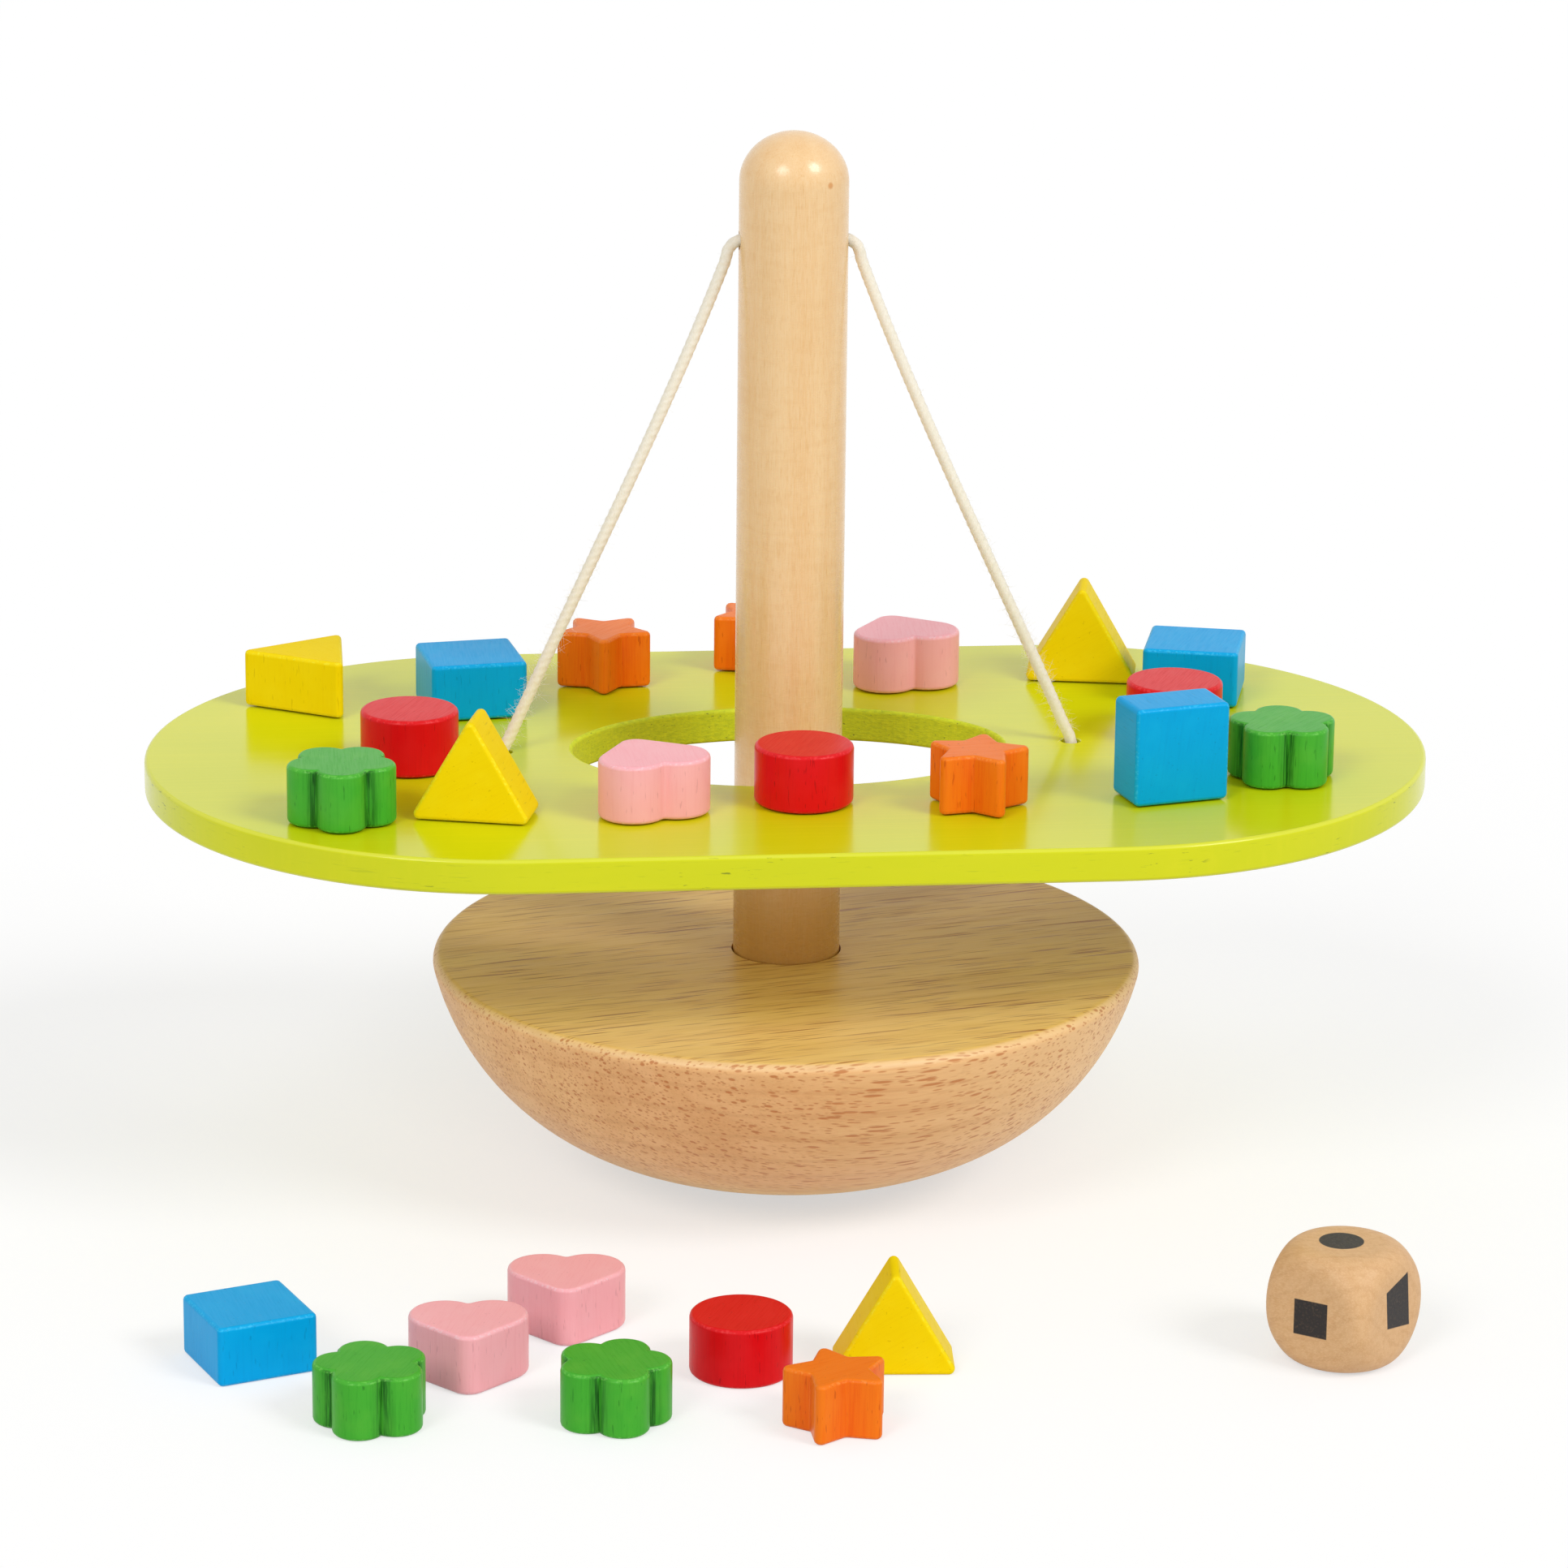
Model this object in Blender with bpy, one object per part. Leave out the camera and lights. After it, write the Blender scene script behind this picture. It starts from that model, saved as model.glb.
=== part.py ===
"""Balance seesaw game: a painted deck hung by a cord from the mast of a rocking wooden base,
with loose play blocks on the deck, spare blocks on the table and a shape die.

Metres, +Z up, +X along the deck, origin where the rocking base touches the table.
"""
import math

import bmesh
import bpy
from mathutils import Matrix, Vector

# Gap kept between pieces that touch, and the distance under which points are one
SEAT_GAP = 0.0003
MERGE_DISTANCE = 0.000001

# Rocking base, turned from one block of wood
BASE_RADIUS = 0.083
BASE_HEIGHT = 0.052
BASE_RIM_ROUND = 0.0023
BASE_ROLL_RADIUS = 0.150
BASE_ROLL_ANGLE = math.radians(16)
BASE_SIDE_ANGLE = math.radians(76)
BASE_SIDE_FULLNESS = 0.36
FOOT_FLAT_RADIUS = 0.007
SOCKET_DEPTH = 0.030
BASE_SEGMENTS = 56

# Mast, a round post with a domed top, glued in the base's socket
MAST_RADIUS = 0.0125
MAST_ABOVE_BASE = 0.1945
MAST_DOME_HEIGHT = 0.0115
MAST_HOLE_BELOW_TOP = 0.025
MAST_SEGMENTS = 32

# Cord, one run from knot to knot through the mast
CORD_RADIUS = 0.00125
CORD_HOLE_CLEARANCE = 0.00095
CORD_BEND_OUT = 0.0032
CORD_BEND_DOWN = 0.0050
CORD_POINT_SPACING = 0.0055
CORD_FEWEST_STEPS = 2

# Deck, a board with round ends that hangs on the cord
DECK_HALF_STRAIGHT = 0.0653
DECK_END_RADIUS = 0.084
DECK_THICKNESS = 0.008
DECK_EDGE_ROUND = 0.0009
DECK_BELOW_MAST_HOLE = 0.120
OVAL_HALF_LENGTH = 0.0502
OVAL_HALF_WIDTH = 0.0316
CORD_HOLE_HALF_SPAN = 0.0665
DECK_END_STEPS = 28
OVAL_STEPS = 56
HOLE_STEPS = 16
CUTTER_OVERSHOOT = 0.004

# Stopper knots under the deck, each with a short tail
KNOT_RADIUS = 0.0036
KNOT_HEIGHT = 0.0058
KNOT_TAIL = 0.006
KNOT_SEGMENTS = 14

# Play blocks, all sawn from board of one thickness
BLOCK_THICKNESS = 0.0135
BLOCK_EDGE_ROUND = 0.0006
CYLINDER_RADIUS = 0.01125
CYLINDER_STEPS = 28
SQUARE_SIDE = 0.0228
SQUARE_CORNER_ROUND = 0.0008
TRIANGLE_SIDE = 0.0280
TRIANGLE_CORNER_ROUND = 0.0011
STAR_POINT_RADIUS = 0.0133
STAR_INNER_RADIUS = 0.0070
STAR_POINT_ROUND = 0.0015
STAR_VALLEY_ROUND = 0.0008
STAR_POINTS = 5
FLOWER_PETALS = 5
PETAL_RADIUS = 0.0058
PETAL_OUT = 0.0067
STEPS_PER_PETAL = 8
HEART_LOBE_RADIUS = 0.0078
HEART_LOBE_OUT = 0.0052
HEART_LOBE_UP = 0.0029
HEART_TIP_DOWN = 0.0116
HEART_TIP_ROUND = 0.0042
HEART_NOTCH_ROUND = 0.0008
HEART_LOBE_STEPS = 10
HEART_TIP_STEPS = 3
HEART_NOTCH_STEPS = 2
CORNER_STEPS = 2

# Die, a cube whose edges and corners a ball rounds off
DIE_SIDE = 0.0266
DIE_BALL_RADIUS = 0.01745
DIE_SOFTNESS = 18
DIE_SWELL = 1.012
DIE_FACE_STEPS = 10
DIE_YAW = -44

# Loose pieces on the table: how far their row lies in front of the base
SPARE_ROW_GAP = 0.040
DIE_PLACE = (0.1088, -0.0113)

# Heights and lengths that follow from the sizes above
FOOT_SAGITTA = BASE_ROLL_RADIUS - math.sqrt(BASE_ROLL_RADIUS ** 2 - FOOT_FLAT_RADIUS ** 2)
ROLL_CENTRE = BASE_ROLL_RADIUS - FOOT_SAGITTA
MAST_TOP = BASE_HEIGHT + MAST_ABOVE_BASE
MAST_HOLE = MAST_TOP - MAST_HOLE_BELOW_TOP
DECK_TOP = MAST_HOLE - DECK_BELOW_MAST_HOLE
DECK_BOTTOM = DECK_TOP - DECK_THICKNESS
DECK_HALF_LENGTH = DECK_HALF_STRAIGHT + DECK_END_RADIUS
CORD_HOLE_RADIUS = CORD_RADIUS + CORD_HOLE_CLEARANCE
SPARE_ROW = -(BASE_RADIUS + SPARE_ROW_GAP)

# Blocks on the deck: name, place as shares of the deck's half length and half width,
# turn in degrees, and whether the block stands on its edge
DECK_BLOCKS = (
    ("yellow_triangle_1", -0.739, 0.497, 89, False),
    ("blue_square_1", -0.482, 0.435, 8, False),
    ("orange_star_1", -0.261, 0.668, 32, False),
    ("orange_star_2", -0.002, 0.810, 35, False),
    ("pink_heart_1", 0.221, 0.621, -168, False),
    ("yellow_triangle_2", 0.516, 0.644, -11, True),
    ("blue_square_2", 0.681, 0.437, -15, False),
    ("red_cylinder_1", 0.610, 0.023, 0, False),
    ("blue_square_3", 0.552, -0.549, 14, True),
    ("green_flower_1", 0.740, -0.390, -3, False),
    ("orange_star_3", 0.252, -0.599, -15, False),
    ("red_cylinder_2", -0.007, -0.527, 0, False),
    ("pink_heart_2", -0.244, -0.581, -162, False),
    ("yellow_triangle_3", -0.505, -0.592, -15, True),
    ("red_cylinder_3", -0.593, -0.123, 0, False),
    ("green_flower_2", -0.706, -0.602, 34, False),
)

# Spare blocks on the table: name, place from the mast's line and from the spare row,
# turn in degrees, and whether the block stands on its edge
SPARE_BLOCKS = (
    ("blue_square_4", -0.1286, 0.0037, 20, False),
    ("green_flower_3", -0.1036, -0.0308, 11, False),
    ("pink_heart_3", -0.0818, -0.0077, -3, False),
    ("pink_heart_4", -0.0589, 0.0182, -4, False),
    ("green_flower_4", -0.0524, -0.0335, 49, False),
    ("red_cylinder_4", -0.0229, -0.0093, 0, False),
    ("orange_star_4", -0.0055, -0.0418, 10, False),
    ("yellow_triangle_4", 0.0105, -0.0085, -4, True),
)

# Linear colours and roughness of each finish
FINISHES = {
    "base_wood": ((0.60, 0.36, 0.15), 0.50),
    "mast_wood": ((0.87, 0.60, 0.30), 0.45),
    "die_wood": ((0.74, 0.47, 0.24), 0.50),
    "cotton": ((0.92, 0.88, 0.74), 0.95),
    "lime_paint": ((0.64, 0.68, 0.01), 0.25),
    "red_cylinder": ((0.70, 0.01, 0.015), 0.45),
    "blue_square": ((0.01, 0.36, 0.66), 0.50),
    "yellow_triangle": ((0.95, 0.66, 0.005), 0.50),
    "orange_star": ((0.87, 0.19, 0.015), 0.50),
    "pink_heart": ((0.94, 0.36, 0.40), 0.50),
    "green_flower": ((0.06, 0.42, 0.04), 0.50),
}


def clear_scene():
    for obj in list(bpy.data.objects):
        bpy.data.objects.remove(obj, do_unlink=True)


def make_materials():
    """One Principled material for each finish."""
    materials = {}
    for name, (colour, roughness) in FINISHES.items():
        mat = bpy.data.materials.new(name)
        mat.use_nodes = True
        shader = mat.node_tree.nodes["Principled BSDF"]
        shader.inputs["Base Color"].default_value = (*colour, 1.0)
        shader.inputs["Roughness"].default_value = roughness
        shader.inputs["Metallic"].default_value = 0.0
        materials[name] = mat
    return materials


def world_point(obj):
    """World place of a pivot. Pivots are moved and never turned."""
    if obj is None:
        return Vector((0.0, 0.0, 0.0))
    return obj.location + world_point(obj.parent)


def add_object(name, data, at, parent=None, yaw=0.0):
    """Put data in the scene at a world place, turned about Z, carried by its parent."""
    obj = bpy.data.objects.new(name, data)
    bpy.context.scene.collection.objects.link(obj)
    obj.parent = parent
    obj.location = Vector(at) - world_point(parent)
    obj.rotation_euler.z = math.radians(yaw)
    return obj


def finish_mesh(name, bm, mat):
    """Turn an edited mesh into mesh data, smooth on its round faces."""
    mesh = bpy.data.meshes.new(name)
    bm.to_mesh(mesh)
    bm.free()
    mesh.materials.append(mat)
    mesh.shade_smooth()
    mesh.set_sharp_from_angle(angle=math.radians(40))
    return mesh


def arc(centre, radius, start, end, steps):
    """Points along a circle from one angle to another, both ends included."""
    turns = [start + (end - start) * k / steps for k in range(steps + 1)]
    return [(centre[0] + radius * math.cos(a), centre[1] + radius * math.sin(a)) for a in turns]


def ellipse(half_length, half_width, steps):
    angles = [math.tau * k / steps for k in range(steps)]
    return [(half_length * math.cos(a), half_width * math.sin(a)) for a in angles]


def filleted(corners, radii, steps):
    """Closed outline of straight sides with every corner rounded, taking the radii in turn."""
    points = []
    for i, corner in enumerate(corners):
        radius = radii[i % len(radii)]
        here = Vector(corner)
        back = (Vector(corners[i - 1]) - here).normalized()
        ahead = (Vector(corners[(i + 1) % len(corners)]) - here).normalized()
        half = back.angle(ahead) / 2
        centre = here + (back + ahead).normalized() * radius / math.sin(half)
        start = here + back * radius / math.tan(half) - centre
        end = here + ahead * radius / math.tan(half) - centre
        points += [tuple(centre + radius * start.slerp(end, k / steps)) for k in range(steps + 1)]
    return points


def ring_of_corners(radii, count):
    """Corners spaced evenly round a circle from +Y, taking the radii in turn."""
    angles = [math.pi / 2 + math.tau * k / count for k in range(count)]
    return [(radii[k % len(radii)] * math.cos(a), radii[k % len(radii)] * math.sin(a))
            for k, a in enumerate(angles)]


def cylinder_outline():
    return ellipse(CYLINDER_RADIUS, CYLINDER_RADIUS, CYLINDER_STEPS)


def square_outline():
    half = SQUARE_SIDE / 2
    corners = [(-half, -half), (half, -half), (half, half), (-half, half)]
    return filleted(corners, (SQUARE_CORNER_ROUND,), CORNER_STEPS)


def triangle_outline():
    corners = ring_of_corners((TRIANGLE_SIDE / math.sqrt(3),), 3)
    return filleted(corners, (TRIANGLE_CORNER_ROUND,), CORNER_STEPS)


def star_outline():
    corners = ring_of_corners((STAR_POINT_RADIUS, STAR_INNER_RADIUS), 2 * STAR_POINTS)
    return filleted(corners, (STAR_POINT_ROUND, STAR_VALLEY_ROUND), CORNER_STEPS)


def flower_outline():
    """Outer edge of round petals set in a ring, the first one at +Y."""
    points = []
    petal_turn = math.tau / FLOWER_PETALS
    for k in range(FLOWER_PETALS * STEPS_PER_PETAL):
        off = ((k % STEPS_PER_PETAL) / STEPS_PER_PETAL - 0.5) * petal_turn
        reach = PETAL_OUT * math.cos(off)
        reach += math.sqrt(max(PETAL_RADIUS ** 2 - (PETAL_OUT * math.sin(off)) ** 2, 0.0))
        angle = math.pi / 2 + (k // STEPS_PER_PETAL) * petal_turn + off
        points.append((reach * math.cos(angle), reach * math.sin(angle)))
    return points


def heart_outline():
    """Two round lobes at +Y drawn down by straight sides to a soft tip at -Y."""
    lobe = Vector((HEART_LOBE_OUT, HEART_LOBE_UP))
    tip = Vector((0.0, HEART_TIP_ROUND - HEART_TIP_DOWN))
    fall = tip - lobe
    notch_reach = HEART_LOBE_RADIUS + HEART_NOTCH_ROUND
    notch = math.pi - math.acos(HEART_LOBE_OUT / notch_reach)
    valley = (0.0, HEART_LOBE_UP + math.sqrt(notch_reach ** 2 - HEART_LOBE_OUT ** 2))
    lean = math.acos((HEART_LOBE_RADIUS - HEART_TIP_ROUND) / fall.length)
    side = math.atan2(fall.y, fall.x) + lean
    right = arc(tip, HEART_TIP_ROUND, -math.pi / 2, side, HEART_TIP_STEPS)
    right += arc(lobe, HEART_LOBE_RADIUS, side, notch, HEART_LOBE_STEPS)
    right += arc(valley, HEART_NOTCH_ROUND, notch - math.pi, -math.pi / 2, HEART_NOTCH_STEPS)[1:]
    left = [(-x, y) for x, y in reversed(right[1:-1])]
    return right + left


def stadium_outline():
    right = arc((DECK_HALF_STRAIGHT, 0.0), DECK_END_RADIUS, -math.pi / 2, math.pi / 2, DECK_END_STEPS)
    return right + [(-x, -y) for x, y in right]


OUTLINES = {
    "red_cylinder": cylinder_outline,
    "blue_square": square_outline,
    "yellow_triangle": triangle_outline,
    "orange_star": star_outline,
    "pink_heart": heart_outline,
    "green_flower": flower_outline,
}


def prism(outline, low, high, edge_round=0.0):
    """Solid between two heights with a given outline and softened rims."""
    bm = bmesh.new()
    face = bm.faces.new([bm.verts.new((x, y, low)) for x, y in outline])
    raised = bmesh.ops.extrude_face_region(bm, geom=[face])["geom"]
    top = [part for part in raised if isinstance(part, bmesh.types.BMVert)]
    bmesh.ops.translate(bm, verts=top, vec=(0.0, 0.0, high - low))
    bmesh.ops.recalc_face_normals(bm, faces=bm.faces)
    if edge_round > 0.0:
        level = [e for e in bm.edges if abs(e.verts[0].co.z - e.verts[1].co.z) < MERGE_DISTANCE]
        bmesh.ops.bevel(bm, geom=level, offset=edge_round, segments=1, profile=0.5, affect="EDGES")
    return bm


def turned(profile, segments):
    """Solid of revolution about Z from (radius, height) points; open rings are closed flat."""
    bm = bmesh.new()
    verts = [bm.verts.new((radius, 0.0, height)) for radius, height in profile]
    edges = [bm.edges.new(pair) for pair in zip(verts, verts[1:])]
    bmesh.ops.spin(bm, geom=verts + edges, axis=(0.0, 0.0, 1.0), angle=math.tau, steps=segments,
                   use_merge=True)
    bmesh.ops.remove_doubles(bm, verts=bm.verts, dist=MERGE_DISTANCE)
    bmesh.ops.holes_fill(bm, edges=[e for e in bm.edges if e.is_boundary])
    bmesh.ops.recalc_face_normals(bm, faces=bm.faces)
    return bm


def base_profile():
    """Socket, top face, rim, side and rolling underside of the base, top to bottom."""
    socket_radius = MAST_RADIUS + SEAT_GAP
    socket_floor = BASE_HEIGHT - SOCKET_DEPTH
    points = [(socket_radius, socket_floor), (socket_radius, BASE_HEIGHT)]
    rim_centre = (BASE_RADIUS - BASE_RIM_ROUND, BASE_HEIGHT - BASE_RIM_ROUND)
    rim_end = BASE_SIDE_ANGLE - math.pi / 2
    points += arc(rim_centre, BASE_RIM_ROUND, math.pi / 2, rim_end, 3)
    roll_out = BASE_ROLL_RADIUS * math.sin(BASE_ROLL_ANGLE)
    roll_up = ROLL_CENTRE - BASE_ROLL_RADIUS * math.cos(BASE_ROLL_ANGLE)
    points += side_curve(points[-1], (roll_out, roll_up))[1:-1]
    foot_angle = -math.pi / 2 + math.asin(FOOT_FLAT_RADIUS / BASE_ROLL_RADIUS)
    points += arc((0.0, ROLL_CENTRE), BASE_ROLL_RADIUS, BASE_ROLL_ANGLE - math.pi / 2, foot_angle, 4)
    return points


def side_curve(rim, roll, steps=8):
    """Smooth curve from the rim down to the edge of the rolling underside."""
    start = Vector(rim)
    end = Vector(roll)
    pull = (start - end).length * BASE_SIDE_FULLNESS
    start_pull = start - pull * Vector((math.cos(BASE_SIDE_ANGLE), math.sin(BASE_SIDE_ANGLE)))
    end_pull = end + pull * Vector((math.cos(BASE_ROLL_ANGLE), math.sin(BASE_ROLL_ANGLE)))
    curve = []
    for k in range(steps + 1):
        t = k / steps
        near_start = start * (1 - t) ** 3 + start_pull * 3 * t * (1 - t) ** 2
        near_end = end_pull * 3 * t ** 2 * (1 - t) + end * t ** 3
        curve.append(tuple(near_start + near_end))
    return curve


def mast_profile():
    """Dome, wall and foot of the mast, top to bottom."""
    wall_top = MAST_TOP - MAST_DOME_HEIGHT
    dome = [(MAST_RADIUS * math.sin(a), wall_top + MAST_DOME_HEIGHT * math.cos(a))
            for a in (math.pi / 2 * k / 7 for k in range(8))]
    foot = BASE_HEIGHT - SOCKET_DEPTH + SEAT_GAP
    return dome + [(MAST_RADIUS, foot)]


def knot_profile():
    """Round stopper knot that narrows to the cord's short tail, top to bottom from z = 0."""
    middle = -KNOT_HEIGHT / 2
    angles = [math.radians(a) for a in (65, 35, 0, -35, -62)]
    body = [(KNOT_RADIUS * math.cos(a), middle + KNOT_HEIGHT / 2 * math.sin(a)) for a in angles]
    tail_end = -(KNOT_HEIGHT + KNOT_TAIL)
    return [(CORD_RADIUS, 0.0)] + body + [(CORD_RADIUS, -KNOT_HEIGHT), (CORD_RADIUS, tail_end)]


def add_cutter(name, bm, mat, target, at, parent=None):
    """Subtract a solid from the target. The cutter itself is left out of the model."""
    cutter = add_object(name, finish_mesh(name, bm, mat), at, parent)
    cutter.hide_render = True
    cutter.display_type = "WIRE"
    cut = target.modifiers.new(name, "BOOLEAN")
    cut.operation = "DIFFERENCE"
    cut.solver = "EXACT"
    cut.object = cutter


def make_rocker(materials, pivot):
    base = finish_mesh("rocker_base", turned(base_profile(), BASE_SEGMENTS), materials["base_wood"])
    base.transform(Matrix.Translation((0.0, 0.0, -ROLL_CENTRE)))
    add_object("rocker_base", base, (0.0, 0.0, ROLL_CENTRE), pivot)
    mast = finish_mesh("mast", turned(mast_profile(), MAST_SEGMENTS), materials["mast_wood"])
    mast.transform(Matrix.Translation((0.0, 0.0, -ROLL_CENTRE)))
    post = add_object("mast", mast, (0.0, 0.0, ROLL_CENTRE), pivot)
    reach = MAST_RADIUS + CUTTER_OVERSHOOT
    drill = prism(ellipse(CORD_HOLE_RADIUS, CORD_HOLE_RADIUS, HOLE_STEPS), -reach, reach)
    bmesh.ops.rotate(drill, verts=drill.verts, matrix=Matrix.Rotation(math.pi / 2, 3, "Y"))
    add_cutter("mast_hole_cutter", drill, materials["mast_wood"], post, (0.0, 0.0, MAST_HOLE), pivot)


def make_deck(materials, pivot):
    """Deck board with its origin at the mast's cord hole, about which it swings."""
    below = DECK_BOTTOM - MAST_HOLE
    above = DECK_TOP - MAST_HOLE
    board = prism(stadium_outline(), below, above, DECK_EDGE_ROUND)
    deck = add_object("deck", finish_mesh("deck", board, materials["lime_paint"]), (0.0, 0.0, MAST_HOLE), pivot)
    low = below - CUTTER_OVERSHOOT
    high = above + CUTTER_OVERSHOOT
    oval = prism(ellipse(OVAL_HALF_LENGTH, OVAL_HALF_WIDTH, OVAL_STEPS), low, high)
    add_cutter("oval_cutter", oval, materials["lime_paint"], deck, (0.0, 0.0, MAST_HOLE), pivot)
    for side, sign in (("left", -1), ("right", 1)):
        x = sign * CORD_HOLE_HALF_SPAN
        drill = prism(ellipse(CORD_HOLE_RADIUS, CORD_HOLE_RADIUS, HOLE_STEPS), low, high)
        add_cutter(side + "_cord_hole_cutter", drill, materials["lime_paint"], deck, (x, 0.0, MAST_HOLE), pivot)
        knot = finish_mesh(side + "_knot", turned(knot_profile(), KNOT_SEGMENTS), materials["cotton"])
        add_object(side + "_knot", knot, (x, 0.0, DECK_BOTTOM - SEAT_GAP), pivot)


def cord_keys():
    """Right half of the cord's route, from inside the mast to the end above the knot."""
    leg_top = Vector((MAST_RADIUS + CORD_BEND_OUT, 0.0, MAST_HOLE - CORD_BEND_DOWN))
    mouth = Vector((CORD_HOLE_HALF_SPAN, 0.0, DECK_TOP))
    leg = (mouth - leg_top).normalized()
    return [
        Vector((0.0, 0.0, MAST_HOLE)),
        Vector((MAST_RADIUS, 0.0, MAST_HOLE)),
        Vector((MAST_RADIUS + CORD_BEND_OUT * 0.66, 0.0, MAST_HOLE - CORD_BEND_DOWN * 0.32)),
        leg_top,
        mouth - leg * CORD_BEND_DOWN,
        mouth,
        Vector((CORD_HOLE_HALF_SPAN, 0.0, DECK_BOTTOM)),
    ]


def smooth_route(keys):
    """Points along a smooth curve through the keys, each stretch drawn by its own length."""
    runs = [(b - a).normalized() for a, b in zip(keys, keys[1:])]
    ways = [runs[0]] + [(a + b).normalized() for a, b in zip(runs, runs[1:])] + [runs[-1]]
    route = [keys[0]]
    for a, b, way_a, way_b in zip(keys, keys[1:], ways, ways[1:]):
        length = (b - a).length
        steps = max(CORD_FEWEST_STEPS, math.ceil(length / CORD_POINT_SPACING))
        for k in range(1, steps + 1):
            t = k / steps
            from_a = a * (1 + 2 * t) * (1 - t) ** 2 + way_a * length * t * (1 - t) ** 2
            from_b = b * (3 - 2 * t) * t ** 2 - way_b * length * (1 - t) * t ** 2
            route.append(from_a + from_b)
    return route


def make_cord(mat, pivot):
    """Cord with its origin in the mast's cross hole, on its swing axis."""
    right = smooth_route(cord_keys())
    left = [Vector((-p.x, p.y, p.z)) for p in reversed(right[1:])]
    route = left + right
    curve = bpy.data.curves.new("cord", "CURVE")
    curve.dimensions = "3D"
    curve.bevel_depth = CORD_RADIUS
    curve.bevel_resolution = 2
    curve.use_fill_caps = True
    spline = curve.splines.new("POLY")
    spline.points.add(len(route) - 1)
    for point, place in zip(spline.points, route):
        point.co = (place.x, place.y, place.z - MAST_HOLE, 1.0)
    curve.materials.append(mat)
    add_object("cord", curve, (0.0, 0.0, MAST_HOLE), pivot)


def block_mesh(name, kind, mat, stands):
    """A play block on z = 0, lying flat or standing on the lower edge of its outline."""
    outline = OUTLINES[kind]()
    bm = prism(outline, 0.0, BLOCK_THICKNESS, BLOCK_EDGE_ROUND)
    if stands:
        lowest = min(y for _, y in outline)
        upright = Matrix.Rotation(math.pi / 2, 4, "X")
        centre = Matrix.Translation((0.0, BLOCK_THICKNESS / 2, -lowest))
        bm.transform(centre @ upright)
    return finish_mesh(name, bm, mat)


def make_blocks(materials, pivot):
    for name, along, across, yaw, stands in DECK_BLOCKS:
        kind = name.rsplit("_", 1)[0]
        place = (along * DECK_HALF_LENGTH, across * DECK_END_RADIUS, DECK_TOP + SEAT_GAP)
        add_object(name, block_mesh(name, kind, materials[kind], stands), place, pivot, yaw)
    for name, x, ahead, yaw, stands in SPARE_BLOCKS:
        kind = name.rsplit("_", 1)[0]
        add_object(name, block_mesh(name, kind, materials[kind], stands), (x, SPARE_ROW + ahead, 0.0), None, yaw)


def make_die(mat):
    """Soft overlap of a cube and a ball, with flat faces."""
    bm = bmesh.new()
    bmesh.ops.create_cube(bm, size=DIE_SIDE)
    bmesh.ops.subdivide_edges(bm, edges=bm.edges[:], cuts=DIE_FACE_STEPS - 1, use_grid_fill=True)
    half = DIE_SIDE / 2
    for vert in bm.verts:
        way = vert.co.normalized()
        limits = [abs(c) / (half * DIE_SWELL) for c in way] + [1 / DIE_BALL_RADIUS]
        reach = sum(limit ** DIE_SOFTNESS for limit in limits) ** (-1 / DIE_SOFTNESS)
        vert.co = [max(-half, min(half, reach * c)) for c in way]
    bmesh.ops.triangulate(bm, faces=bm.faces[:])
    bmesh.ops.dissolve_limit(bm, angle_limit=math.radians(0.3), verts=bm.verts[:], edges=bm.edges[:])
    x, ahead = DIE_PLACE
    add_object("die", finish_mesh("die", bm, mat), (x, SPARE_ROW + ahead, DIE_SIDE / 2), None, DIE_YAW)


def main():
    clear_scene()
    materials = make_materials()
    rocker_pivot = add_object("rocker_pivot", None, (0.0, 0.0, ROLL_CENTRE))
    deck_pivot = add_object("deck_pivot", None, (0.0, 0.0, MAST_HOLE), rocker_pivot)
    make_rocker(materials, rocker_pivot)
    make_deck(materials, deck_pivot)
    make_cord(materials["cotton"], deck_pivot)
    make_blocks(materials, deck_pivot)
    make_die(materials["die_wood"])


main()
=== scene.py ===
"""Looks of the balance seesaw game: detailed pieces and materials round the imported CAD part."""
import math

import bmesh
import bpy
import numpy as np
from mathutils import Matrix, Vector


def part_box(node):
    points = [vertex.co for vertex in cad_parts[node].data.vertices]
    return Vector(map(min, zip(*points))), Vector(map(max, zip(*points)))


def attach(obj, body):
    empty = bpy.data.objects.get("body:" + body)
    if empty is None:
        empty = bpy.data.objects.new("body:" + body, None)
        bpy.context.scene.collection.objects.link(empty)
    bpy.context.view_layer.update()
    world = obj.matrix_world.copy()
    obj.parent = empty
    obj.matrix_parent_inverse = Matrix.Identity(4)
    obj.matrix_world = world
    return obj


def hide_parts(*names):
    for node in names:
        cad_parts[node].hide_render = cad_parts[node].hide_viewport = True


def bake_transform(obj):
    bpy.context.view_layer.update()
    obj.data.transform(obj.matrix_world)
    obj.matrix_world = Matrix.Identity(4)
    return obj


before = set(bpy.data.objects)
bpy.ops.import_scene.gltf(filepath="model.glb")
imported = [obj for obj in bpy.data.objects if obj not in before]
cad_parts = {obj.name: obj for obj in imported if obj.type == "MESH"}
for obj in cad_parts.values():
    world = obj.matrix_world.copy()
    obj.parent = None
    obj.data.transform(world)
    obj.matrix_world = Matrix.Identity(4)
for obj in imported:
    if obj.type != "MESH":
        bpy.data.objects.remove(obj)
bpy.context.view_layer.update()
MM = 0.001
QUARTER_TURN = math.pi / 2

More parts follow.
